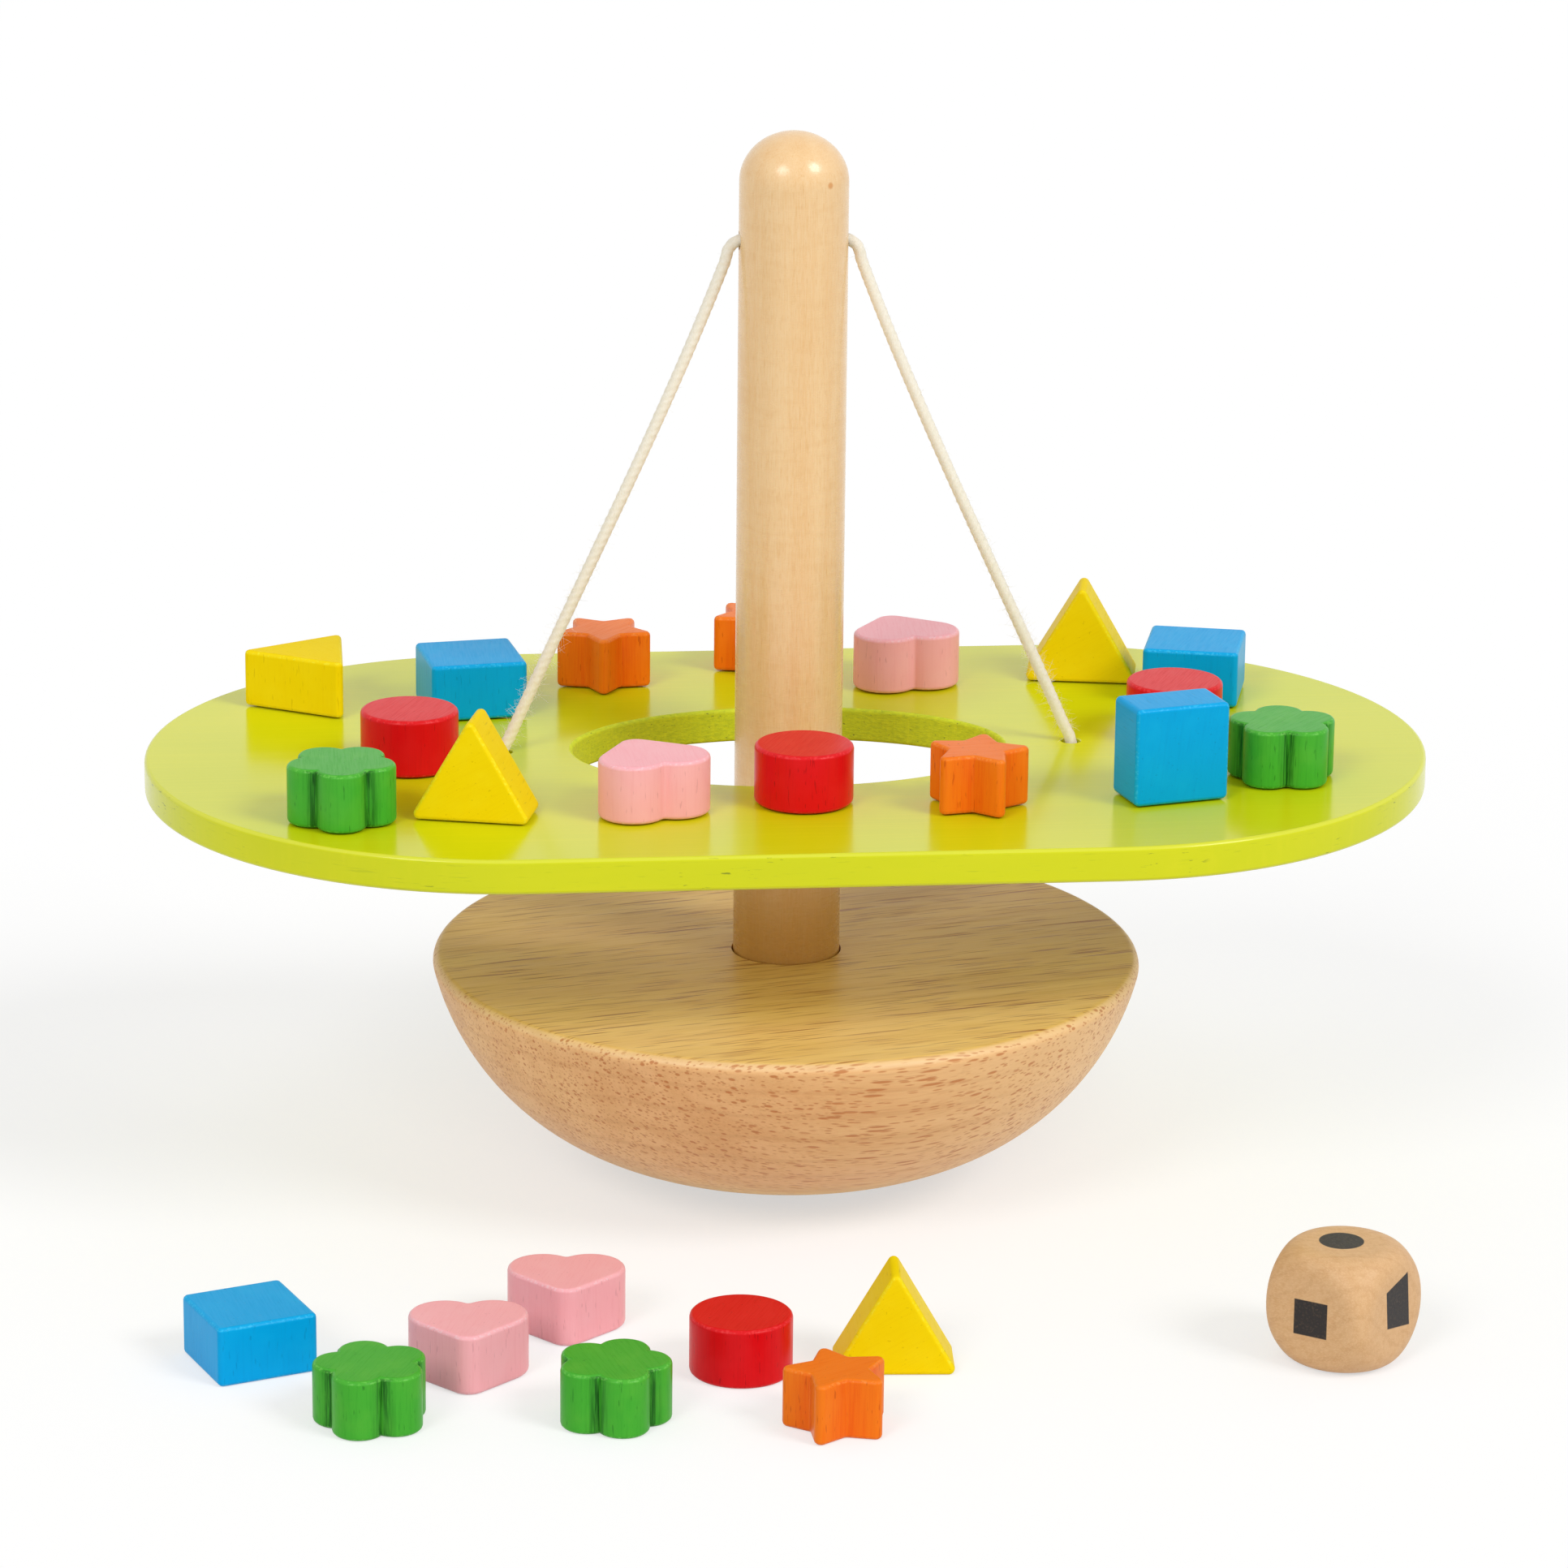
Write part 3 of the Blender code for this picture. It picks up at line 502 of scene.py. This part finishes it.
def die_wood():
    """Sanded pale wood with curved rings and six dark printed shapes, one on each face."""
    tan, brown, ring = (0.73, 0.445, 0.220), (0.63, 0.340, 0.140), (0.50, 0.250, 0.095)
    pale, ink_colour = (0.82, 0.545, 0.295), (0.016, 0.014, 0.015)
    ring_centre = (-0.016, 0.020, 0.024)
    rings_per_metre = 300.0
    print_soft = 0.00012
    face_from = (0.0095, 0.0105)
    s = Shader("die_printed_wood")
    place = s.coords()
    x, y, z = (s.axis(place, name) for name in "XYZ")
    bent = s.noise(place, (20, 20, 20), 2.0, turn=(30, 20, 0))
    rings = s.math("ADD", s.times(s.distance(place, ring_centre), rings_per_metre), s.times(bent, 2.2))
    wave = s.math("SINE", s.times(rings, math.tau))
    mottle = s.noise(place, (2.2, 1.5, 1.5), 4.0, 0.65, turn=(0, 20, 0))
    fibres = s.noise(place, (1.3, 0.28, 0.28), 2.0, 0.6, turn=(0, 12, 20))
    colour = s.stain(tan, brown, mottle, 0.38, 0.68, 0.5)
    colour = s.stain(colour, ring, wave, 0.55, 1.0, 0.16)
    colour = s.stain(colour, pale, fibres, 0.42, 0.72, 0.5)

    def below(value, limit):
        return s.ramp(value, limit + print_soft, limit - print_soft)

    def all_of(*parts):
        total = parts[0]
        for part in parts[1:]:
            total = s.times(total, part)
        return total

    def slab(value, low, high):
        return all_of(below(value, high), below(s.times(value, -1.0), -low))

    def length(a, b):
        return s.math("SQRT", s.math("ADD", s.times(a, a), s.times(b, b)))

    def away(value, sign):
        """1 on the half of the die that this face is on."""
        return s.ramp(s.times(value, sign), *face_from)

    def sloped(value, other, slope):
        return s.math("MULTIPLY_ADD", other, slope, value)

    circle = all_of(below(length(s.math("ADD", x, 0.0011), y), 0.0049), away(z, 1.0))
    square = all_of(slab(x, -0.0041, 0.0044), slab(sloped(z, x, -0.063), -0.0046, 0.0035), away(y, -1.0))
    under = s.times(sloped(z, y, 0.159), -1.0)
    trapezium = all_of(slab(sloped(y, z, 0.109), -0.0032, 0.0054), below(sloped(z, y, -0.306), 0.0070),
                       below(under, 0.0033), away(x, 1.0))
    lean = s.times(s.math("ABSOLUTE", x), 1.73)
    triangle = all_of(below(s.math("ADD", z, lean), 0.0062), below(s.times(z, -1.0), 0.0036), away(y, 1.0))
    turn = s.math("ARCTAN2", z, y)
    petal = s.math("ADD", s.times(s.math("COSINE", s.times(turn, 5.0)), 0.0009), 0.0046)
    flower = all_of(below(s.math("SUBTRACT", length(y, z), petal), 0.0), away(x, -1.0))
    lobe = s.math("SUBTRACT", y, s.times(s.math("ABSOLUTE", x), 0.75))
    heart = all_of(below(length(x, lobe), 0.0050), away(z, -1.0))
    ink = circle
    for mark in (square, trapezium, triangle, flower, heart):
        ink = s.larger(ink, mark)
    wear_and_highlight = s.noise(place, (0.5, 0.5, 0.5), 2.0)
    ink = s.times(ink, s.ramp(wear_and_highlight, 0.2, 0.5, 0.93, 0.99))
    colour = s.mix(ink, colour, ink_colour)
    normal = s.bump(fibres, 0.15, 0.00008)
    return s.finish(colour, s.ramp(fibres, 0.3, 0.7, 0.42, 0.52), normal, Specular_IOR_Level=0.3)


def cotton():
    """Undyed twisted cotton."""
    flax, cream, straw = (0.90, 0.82, 0.66), (0.98, 0.94, 0.84), (0.94, 0.86, 0.70)
    s = Shader("cotton_yarn")
    place = s.coords()
    fibres = s.noise(place, (0.25, 0.25, 0.6), 3.0, 0.7)
    broad = s.noise(place, (3, 3, 6), 2.0)
    colour = s.stain(flax, cream, fibres, 0.3, 0.75)
    colour = s.stain(colour, straw, broad, 0.4, 0.7, 0.25)
    normal = s.bump(fibres, 0.5, 0.00015)
    return s.finish(colour, 0.95, normal, Specular_IOR_Level=0.2, Sheen_Weight=0.15)


# Outlines, in metres, around the middle of each shape

def arc(centre, radius, start, end, steps):
    turns = [start + (end - start) * k / steps for k in range(steps + 1)]
    return [(centre[0] + radius * math.cos(a), centre[1] + radius * math.sin(a)) for a in turns]


def ellipse(half_length, half_width, steps):
    turns = [math.tau * k / steps for k in range(steps)]
    return [(half_length * math.cos(a), half_width * math.sin(a)) for a in turns]


def filleted(corners, radii, steps):
    """Corners with their points rounded, by each radius in turn."""
    points = []
    for i, corner in enumerate(corners):
        radius = radii[i % len(radii)]
        here = Vector(corner)
        back = (Vector(corners[i - 1]) - here).normalized()
        ahead = (Vector(corners[(i + 1) % len(corners)]) - here).normalized()
        half = back.angle(ahead) / 2
        centre = here + (back + ahead).normalized() * radius / math.sin(half)
        start = here + back * radius / math.tan(half) - centre
        end = here + ahead * radius / math.tan(half) - centre
        points += [tuple(centre + radius * start.slerp(end, k / steps)) for k in range(steps + 1)]
    return points


def ring_of_corners(radii, count):
    """Corners all round from straight up, at each radius in turn."""
    corners = []
    for k in range(count):
        radius = radii[k % len(radii)]
        angle = QUARTER_TURN + math.tau * k / count
        corners.append((radius * math.cos(angle), radius * math.sin(angle)))
    return corners


def flower_outline(out=0.0067, petal=0.0058, petals=5, steps=26):
    points = []
    turn = math.tau / petals
    for k in range(petals * steps):
        off = ((k % steps) / steps - 0.5) * turn
        reach = out * math.cos(off) + math.sqrt(max(petal ** 2 - (out * math.sin(off)) ** 2, 0.0))
        angle = QUARTER_TURN + (k // steps) * turn + off
        points.append((reach * math.cos(angle), reach * math.sin(angle)))
    return points


def heart_outline(radius=0.0078, out=0.0052, up=0.0029, down=0.0116, tip_round=0.0042, notch_round=0.0008):
    lobe = Vector((out, up))
    tip = Vector((0.0, tip_round - down))
    fall = tip - lobe
    notch_reach = radius + notch_round
    notch = math.pi - math.acos(out / notch_reach)
    valley = (0.0, up + math.sqrt(notch_reach ** 2 - out ** 2))
    side = math.atan2(fall.y, fall.x) + math.acos((radius - tip_round) / fall.length)
    right = arc(tip, tip_round, -QUARTER_TURN, side, 8) + arc(lobe, radius, side, notch, 36)
    right += arc(valley, notch_round, notch - math.pi, -QUARTER_TURN, 6)[1:]
    return right + [(-x, y) for x, y in reversed(right[1:-1])]


def square_corners(half):
    return [(-half, -half), (half, -half), (half, half), (-half, half)]


OUTLINES = {
    "red_cylinder": ellipse(CYLINDER_RADIUS, CYLINDER_RADIUS, CYLINDER_STEPS),
    "blue_square": filleted(square_corners(HALF_SQUARE), (BLOCK_CORNER_ROUND,), 6),
    "yellow_triangle": filleted(ring_of_corners((TRIANGLE_RADIUS,), 3), (BLOCK_CORNER_ROUND,), 8),
    "orange_star": filleted(ring_of_corners(STAR_RADII, 10), STAR_ROUNDS, 8),
    "pink_heart": heart_outline(),
    "green_flower": flower_outline(),
}


# Meshes

def prism(outline, thickness, edge_round):
    """Solid of an outline on z = 0 with rims rounded in three steps."""
    bm = bmesh.new()
    face = bm.faces.new([bm.verts.new((x, y, 0.0)) for x, y in outline])
    raised = bmesh.ops.extrude_face_region(bm, geom=[face])["geom"]
    upper = [v for v in raised if isinstance(v, bmesh.types.BMVert)]
    bmesh.ops.translate(bm, verts=upper, vec=(0, 0, thickness))
    bmesh.ops.recalc_face_normals(bm, faces=bm.faces)
    level = [e for e in bm.edges if abs(e.verts[0].co.z - e.verts[1].co.z) < 1e-7]
    bmesh.ops.bevel(bm, geom=level, offset=edge_round, segments=3, profile=0.5, affect="EDGES")
    return bm


def lathe(profile, steps):
    """Solid of a profile of radius and height turned round the Z axis."""
    bm = bmesh.new()
    verts = [bm.verts.new((r, 0.0, z)) for r, z in profile]
    edges = [bm.edges.new(pair) for pair in zip(verts, verts[1:])]
    bmesh.ops.spin(bm, geom=verts + edges, axis=(0, 0, 1), angle=math.tau, steps=steps, use_merge=True)
    bmesh.ops.remove_doubles(bm, verts=bm.verts, dist=1e-6)
    bmesh.ops.holes_fill(bm, edges=[e for e in bm.edges if e.is_boundary])
    bmesh.ops.recalc_face_normals(bm, faces=bm.faces)
    return bm


def link(name, data):
    obj = bpy.data.objects.new(name, data)
    bpy.context.scene.collection.objects.link(obj)
    return obj


def mesh_object(name, bm):
    mesh = bpy.data.meshes.new(name)
    bm.to_mesh(mesh)
    bm.free()
    return link(name, mesh)


def soften(obj, sharp):
    """Smooth shading that keeps edges sharper than this angle in degrees, led by the large faces."""
    obj.data.shade_smooth()
    obj.data.set_sharp_from_angle(angle=math.radians(sharp))
    normals = obj.modifiers.new("normals", "WEIGHTED_NORMAL")
    normals.keep_sharp = True
    normals.weight = 100


def add_piece(name, bm, materials, body, nodes, place=None, sharp=EDGE_ANGLE):
    """Make a mesh into a piece that stands for CAD nodes and rides on their body."""
    obj = mesh_object(name, bm)
    soften(obj, sharp)
    for mat in materials:
        obj.data.materials.append(mat)
    if place is not None:
        obj.matrix_world = place
    if body:
        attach(obj, body)
    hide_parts(*nodes)
    return obj


def drill_out(obj, cutter):
    """Cut a hole for good and leave plain mesh data."""
    obj.modifiers.clear()
    cut = obj.modifiers.new("cut", "BOOLEAN")
    cut.object = cutter
    cut.solver = "EXACT"
    cut.operation = "DIFFERENCE"
    depsgraph = bpy.context.evaluated_depsgraph_get()
    mesh = bpy.data.meshes.new_from_object(obj.evaluated_get(depsgraph), depsgraph=depsgraph)
    obj.modifiers.clear()
    obj.data = mesh
    bpy.data.objects.remove(cutter)
    soften(obj, DRILLED_EDGE_ANGLE)


def base_profile():
    """Socket wall, flat top, rounded rim, full side and rolling underside, down to the flat foot."""
    socket = MAST_RADIUS + SEAT_GAP
    points = [(socket, BASE_HEIGHT - SOCKET_DEPTH), (socket, BASE_HEIGHT - SOCKET_LIP)]
    points += [(r, BASE_HEIGHT) for r in (socket + SOCKET_LIP, socket + SOCKET_COLLAR, BASE_RADIUS * 0.6)]
    rim = (BASE_RADIUS - BASE_RIM_ROUND, BASE_HEIGHT - BASE_RIM_ROUND)
    points += arc(rim, BASE_RIM_ROUND, QUARTER_TURN, SIDE_ANGLE - QUARTER_TURN, 8)
    start = Vector(points[-1])
    end = Vector((ROLL_RADIUS * math.sin(ROLL_ANGLE), ROLL_CENTRE - ROLL_RADIUS * math.cos(ROLL_ANGLE)))
    pull = (start - end).length * SIDE_FULLNESS
    start_pull = start - pull * Vector((math.cos(SIDE_ANGLE), math.sin(SIDE_ANGLE)))
    end_pull = end + pull * Vector((math.cos(ROLL_ANGLE), math.sin(ROLL_ANGLE)))
    for k in range(1, SIDE_STEPS):
        t = k / SIDE_STEPS
        points.append(tuple(start * (1 - t) ** 3 + start_pull * 3 * t * (1 - t) ** 2
                            + end_pull * 3 * t ** 2 * (1 - t) + end * t ** 3))
    foot = -QUARTER_TURN + math.asin(FOOT_FLAT_RADIUS / ROLL_RADIUS)
    return points + arc((0.0, ROLL_CENTRE), ROLL_RADIUS, ROLL_ANGLE - QUARTER_TURN, foot, 14)


def make_rocker():
    """Turned base, and the mast with its cord hole."""
    base = lathe(base_profile(), BASE_STEPS)
    add_piece("base_turned", base, [base_wood()], "rocker", ["rocker_base"])
    wall_top = MAST_TOP - DOME_HEIGHT
    profile = []
    for k in range(DOME_STEPS + 1):
        a = QUARTER_TURN * k / DOME_STEPS
        profile.append((MAST_RADIUS * math.sin(a), wall_top + DOME_HEIGHT * math.cos(a)))
    for k in range(1, WALL_STEPS + 1):
        profile.append((MAST_RADIUS, wall_top + (MAST_FOOT - wall_top) * k / WALL_STEPS))
    turned = lathe(profile, MAST_STEPS)
    mast = add_piece("mast_turned", turned, [mast_wood()], "rocker", ["mast"])
    drill = lathe([(HOLE_RADIUS, -DRILL_REACH), (HOLE_RADIUS, DRILL_REACH)], HOLE_STEPS)
    bmesh.ops.rotate(drill, verts=drill.verts, matrix=Matrix.Rotation(QUARTER_TURN, 3, "Y"))
    bmesh.ops.translate(drill, verts=drill.verts, vec=(0, 0, MAST_HOLE))
    drill_out(mast, mesh_object("mast_drill", drill))


def stadium(inset, steps=64):
    right = arc((DECK_HALF_STRAIGHT, 0.0), DECK_END_RADIUS - inset, -QUARTER_TURN, QUARTER_TURN, steps)
    return right + [(-x, -y) for x, y in right]


def deck_oval(inset):
    return ellipse(OVAL[0] + inset, OVAL[1] + inset, OVAL_STEPS)


def deck_hole(inset, middle):
    radius = HOLE_RADIUS + inset
    return [(x + middle, y) for x, y in ellipse(radius, radius, HOLE_STEPS)]


def make_deck():
    """Board with rounded rims on its outline, its oval and its cord holes."""
    paints = [lime_paint(), sawn_lime()]
    painted, sawn = 0, 1
    outlines = [
        (stadium, DECK_RIM_ROUND, painted),
        (deck_oval, OVAL_RIM_ROUND, sawn),
        (lambda inset: deck_hole(inset, HOLE_SPAN), HOLE_RIM_ROUND, painted),
        (lambda inset: deck_hole(inset, -HOLE_SPAN), HOLE_RIM_ROUND, painted),
    ]
    bm = bmesh.new()
    caps = {"top": [], "bottom": []}
    for outline, round_by, material in outlines:
        section = []
        for k in range(RIM_STEPS + 1):
            a = QUARTER_TURN * k / RIM_STEPS
            section.append((round_by * (1 - math.sin(a)), DECK_TOP - round_by * (1 - math.cos(a))))
        section += [(inset, DECK_BOTTOM + (DECK_TOP - z)) for inset, z in reversed(section)]
        rings = []
        for inset, z in section:
            rings.append([bm.verts.new((x, y, z)) for x, y in outline(inset)])
        for upper, lower in zip(rings, rings[1:]):
            for i in range(len(upper)):
                j = (i + 1) % len(upper)
                face = bm.faces.new((upper[i], upper[j], lower[j], lower[i]))
                face.material_index = material
        for side, ring in (("top", rings[0]), ("bottom", rings[-1])):
            caps[side] += [bm.edges.get((a, b)) for a, b in zip(ring, ring[1:] + ring[:1])]
    for edges in caps.values():
        bmesh.ops.triangle_fill(bm, edges=edges, use_beauty=True, use_dissolve=False)
    bmesh.ops.recalc_face_normals(bm, faces=bm.faces)
    add_piece("deck_board", bm, paints, "deck", ["deck"])


def make_blocks():
    """Painted blocks on the deck and on the table."""
    paints = {}
    for kind, looks in PAINTS.items():
        paints[kind] = block_paint(kind.split("_")[0] + "_block_paint", **looks)
    places = []
    for name, (along, across, yaw, on_edge) in DECK_BLOCKS.items():
        at = (along * DECK_HALF_LENGTH, across * DECK_END_RADIUS, DECK_TOP + SEAT_GAP)
        places.append((name, at, yaw, on_edge))
    for name, (x, ahead, yaw, on_edge) in SPARE_BLOCKS.items():
        places.append((name, (x, SPARE_ROW + ahead, 0.0), yaw, on_edge))
    for name, at, yaw, on_edge in places:
        kind = name.rsplit("_", 1)[0]
        outline = OUTLINES[kind]
        bm = prism(outline, BLOCK_THICKNESS, BLOCK_RIM_ROUND)
        place = Matrix.Translation(at) @ Matrix.Rotation(math.radians(yaw), 4, "Z")
        if on_edge:
            lowest = min(y for _, y in outline)
            upright = Matrix.Rotation(QUARTER_TURN, 4, "X")
            place = place @ Matrix.Translation((0.0, BLOCK_THICKNESS / 2, -lowest)) @ upright
        add_piece(name + "_painted", bm, [paints[kind]], name, [name], place)


def make_die():
    """Soft overlap of a cube and a ball, with flat faces."""
    bm = bmesh.new()
    bmesh.ops.create_cube(bm, size=DIE_SIDE)
    bmesh.ops.subdivide_edges(bm, edges=bm.edges[:], cuts=DIE_CUTS, use_grid_fill=True)
    half = DIE_SIDE / 2
    for vert in bm.verts:
        way = vert.co.normalized()
        limits = [abs(c) / (half * DIE_SWELL) for c in way] + [1 / DIE_BALL_RADIUS]
        reach = sum(limit ** DIE_SOFTNESS for limit in limits) ** (-1 / DIE_SOFTNESS)
        vert.co = [max(-half, min(half, reach * c)) for c in way]
    place = Matrix.Translation((*DIE_PLACE, half)) @ Matrix.Rotation(math.radians(DIE_YAW), 4, "Z")
    add_piece("die_printed", bm, [die_wood()], "die", ["die"], place)


# Cord

def cord_keys():
    """Points of the cord's right half, from the middle of the mast to the deck's underside."""
    leg_top = Vector((MAST_RADIUS + CORD_BEND_OUT, 0.0, MAST_HOLE - CORD_BEND_DOWN))
    mouth = Vector((HOLE_SPAN, 0.0, DECK_TOP))
    leg = (mouth - leg_top).normalized()
    return [
        Vector((0.0, 0.0, MAST_HOLE)),
        Vector((MAST_RADIUS, 0.0, MAST_HOLE)),
        Vector((MAST_RADIUS + CORD_BEND_OUT * 0.66, 0.0, MAST_HOLE - CORD_BEND_DOWN * 0.32)),
        leg_top,
        mouth - leg * CORD_BEND_DOWN,
        mouth,
        Vector((HOLE_SPAN, 0.0, DECK_BOTTOM)),
    ]


def smooth_route(keys, spacing):
    """Smooth curve through the keys, with points about this far apart."""
    runs = [(b - a).normalized() for a, b in zip(keys, keys[1:])]
    ways = [runs[0]] + [(a + b).normalized() for a, b in zip(runs, runs[1:])] + [runs[-1]]
    route = [keys[0]]
    for a, b, way_a, way_b in zip(keys, keys[1:], ways, ways[1:]):
        length = (b - a).length
        steps = max(2, math.ceil(length / spacing))
        for k in range(1, steps + 1):
            t = k / steps
            from_a = a * (1 + 2 * t) * (1 - t) ** 2 + way_a * length * t * (1 - t) ** 2
            from_b = b * (3 - 2 * t) * t ** 2 - way_b * length * (1 - t) * t ** 2
            route.append(from_a + from_b)
    return route


def rope_tube(route, radius, pitch, sides=15, plies=3, depth=0.12):
    """Closed tube whose section has the lobes of twisted plies, turning along the route."""
    bm = bmesh.new()
    points = np.array([tuple(p) for p in route])
    tangents = np.gradient(points, axis=0)
    tangents /= np.linalg.norm(tangents, axis=1)[:, None]
    across = np.cross(tangents[0], (0.3, 1.0, 0.1))
    across /= np.linalg.norm(across)
    length = 0.0
    rings = []
    for i, (point, tangent) in enumerate(zip(points, tangents)):
        across = across - tangent * (across @ tangent)
        across /= np.linalg.norm(across)
        up = np.cross(tangent, across)
        if i:
            length += np.linalg.norm(point - points[i - 1])
        ring = []
        for k in range(sides):
            a = math.tau * k / sides
            lobe = abs(math.cos(plies / 2 * (a - math.tau * length / pitch)))
            r = radius * (1 - depth + depth * lobe ** 0.7)
            ring.append(bm.verts.new(tuple(point + r * (math.cos(a) * across + math.sin(a) * up))))
        rings.append(ring)
    for low, high in zip(rings, rings[1:]):
        for k in range(sides):
            j = (k + 1) % sides
            bm.faces.new((low[k], low[j], high[j], high[k]))
    bm.faces.new(list(reversed(rings[0])))
    bm.faces.new(rings[-1])
    bmesh.ops.recalc_face_normals(bm, faces=bm.faces)
    return bm


def make_cord():
    """Twisted cord from end to end, with its knots and stray fibres."""
    yarn = cotton()
    right = smooth_route(cord_keys(), CORD_SPACING)
    route = [Vector((-p.x, p.y, p.z)) for p in reversed(right[1:])] + right
    rope = rope_tube(route, CORD_RADIUS * CORD_PUFF, PLY_PITCH)
    cord = add_piece("cord_twisted", rope, [yarn], None, ["cord"], sharp=ROPE_EDGE_ANGLE)
    knots = [make_knot(side, sign, yarn) for side, sign in (("left", -1), ("right", 1))]
    fuzz = make_fuzz(route, yarn)
    for piece in (cord, fuzz):
        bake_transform(piece)


def make_fuzz(route, yarn):
    """Stray fibres that stand off the cord's two legs, most of them near the deck."""
    rng = np.random.default_rng(FIBRE_SEED)
    bm = bmesh.new()
    clear = 0.001
    open_run = [i for i, p in enumerate(route[:-1])
                if MAST_RADIUS + clear < abs(p.x) and p.z > DECK_TOP + clear]
    depth = np.array([(MAST_HOLE - route[i].z) / (MAST_HOLE - DECK_TOP) for i in open_run])
    wear_and_highlight = 0.25 + np.clip(2.5 * depth - 1.1, 0.0, 1.0)
    for _ in range(FIBRE_COUNT):
        pick = int(rng.choice(len(open_run), p=wear_and_highlight / wear_and_highlight.sum()))
        i = open_run[pick]
        point, tangent = route[i], (route[i + 1] - route[i]).normalized()
        side = Vector(rng.normal(size=3))
        side = (side - tangent * side.dot(tangent)).normalized()
        way = (side * rng.uniform(0.25, 0.9) + tangent * rng.uniform(-1, 1)).normalized()
        curl = Vector(rng.normal(size=3)) * 0.5
        reach = rng.uniform(*FIBRE_REACH) * (0.7 + wear_and_highlight[pick])
        start = point + side * CORD_RADIUS * 0.85
        last = None
        for k in range(4):
            t = k / 3
            at = start + (way + curl * t * 0.6) * reach * t
            thin = FIBRE_RADIUS * (1 - 0.6 * t)
            ring = [bm.verts.new(at + thin * (side * math.cos(a) + tangent * math.sin(a)))
                    for a in (0, math.tau / 3, 2 * math.tau / 3)]
            if last:
                for m in range(3):
                    n = (m + 1) % 3
                    bm.faces.new((last[m], last[n], ring[n], ring[m]))
            else:
                bm.faces.new(ring[::-1])
            last = ring
        bm.faces.new(last)
    bmesh.ops.recalc_face_normals(bm, faces=bm.faces)
    fuzz = mesh_object("cord_fuzz", bm)
    fuzz.data.materials.append(yarn)
    return fuzz


def make_knot(side, sign, yarn):
    """Overhand stopper knot under the deck with a short tail."""
    top = DECK_BOTTOM - SEAT_GAP
    keys = [Vector((0, 0, -KNOT_START))]
    for k in range(KNOT_STEPS + 1):
        t = -2.0 + 4.0 * k / KNOT_STEPS
        keys.append(Vector((KNOT_SIZE * (t ** 4 - 4 * t ** 2 + 2.2), KNOT_SIZE * (t ** 5 / 5 - 2 * t) * 0.8,
                            -KNOT_DROP - KNOT_SIZE * 1.15 * (t ** 3 - 3 * t))))
    keys.append(keys[-1] + Vector(KNOT_TAIL))
    route = smooth_route([k + Vector((sign * HOLE_SPAN, 0, top)) for k in keys], KNOT_SPACING)
    rope = rope_tube(route, CORD_RADIUS * KNOT_PUFF, KNOT_PITCH)
    return add_piece(side + "_knot_tied", rope, [yarn], "deck", [side + "_knot"],
                     sharp=ROPE_EDGE_ANGLE)


# Stage, light and camera

def make_stage():
    """Pale floor that shows nearly white, with a light shadow."""
    corners = [(x, y, 0) for x, y in square_corners(FLOOR_HALF)]
    mesh = bpy.data.meshes.new("floor")
    mesh.from_pydata(corners, [], [(0, 1, 2, 3)])
    floor = link("floor", mesh)
    floor.location.z = -FLOOR_DROP
    s = Shader("floor_white")
    seen = s.seen()
    diffuse = s.add("BsdfDiffuse", {"Color": s.mix(seen, (FLOOR_BOUNCE,) * 3, (FLOOR_SEEN,) * 3)})
    lift = s.add("Emission", {"Color": WHITE, "Strength": s.times(seen, FLOOR_GLOW)})
    mesh.materials.append(s.show(s.add("AddShader", {0: diffuse, 1: lift})))


def make_light():
    """Even white surround and two soft suns."""
    s = Shader("studio", bpy.data.worlds, "OutputWorld")
    strength = s.add("MapRange", {"Value": s.seen(), "To Min": WORLD_FILL, "To Max": WORLD_SEEN})
    bpy.context.scene.world = s.show(s.add("Background", {"Color": WHITE, "Strength": strength}))
    for name, azimuth, height, energy in LAMPS:
        lamp = bpy.data.lights.new(name, "SUN")
        lamp.energy = energy
        lamp.angle = LAMP_SPREAD
        link(name, lamp).rotation_euler = (math.radians(90 - height), 0.0, math.radians(azimuth))


def make_camera():
    """Camera that matches the photograph: a long lens from a little left of the middle."""
    level, fall = math.cos(CAMERA_ELEVATION), -math.sin(CAMERA_ELEVATION)
    ahead = Vector((-math.sin(CAMERA_YAW) * level, math.cos(CAMERA_YAW) * level, fall))
    right = Vector((math.cos(CAMERA_YAW), math.sin(CAMERA_YAW), 0.0))
    up = right.cross(ahead)
    rolled_right = math.cos(CAMERA_ROLL) * right + math.sin(CAMERA_ROLL) * up
    rolled_up = -math.sin(CAMERA_ROLL) * right + math.cos(CAMERA_ROLL) * up
    data = bpy.data.cameras.new("camera")
    data.sensor_width = SENSOR_WIDTH
    data.lens = FOCAL_PIXELS * SENSOR_WIDTH / IMAGE_SIDE
    camera = link("camera", data)
    facing = Matrix((rolled_right, rolled_up, -ahead)).transposed().to_quaternion()
    camera.matrix_world = Matrix.LocRotScale(CAMERA_AIM - ahead * CAMERA_DISTANCE, facing, None)
    bpy.context.scene.camera = camera


make_camera()
make_cord()
make_rocker()
make_deck()
make_blocks()
make_die()
make_stage()
make_light()
bpy.context.scene.view_settings.view_transform = "Standard"
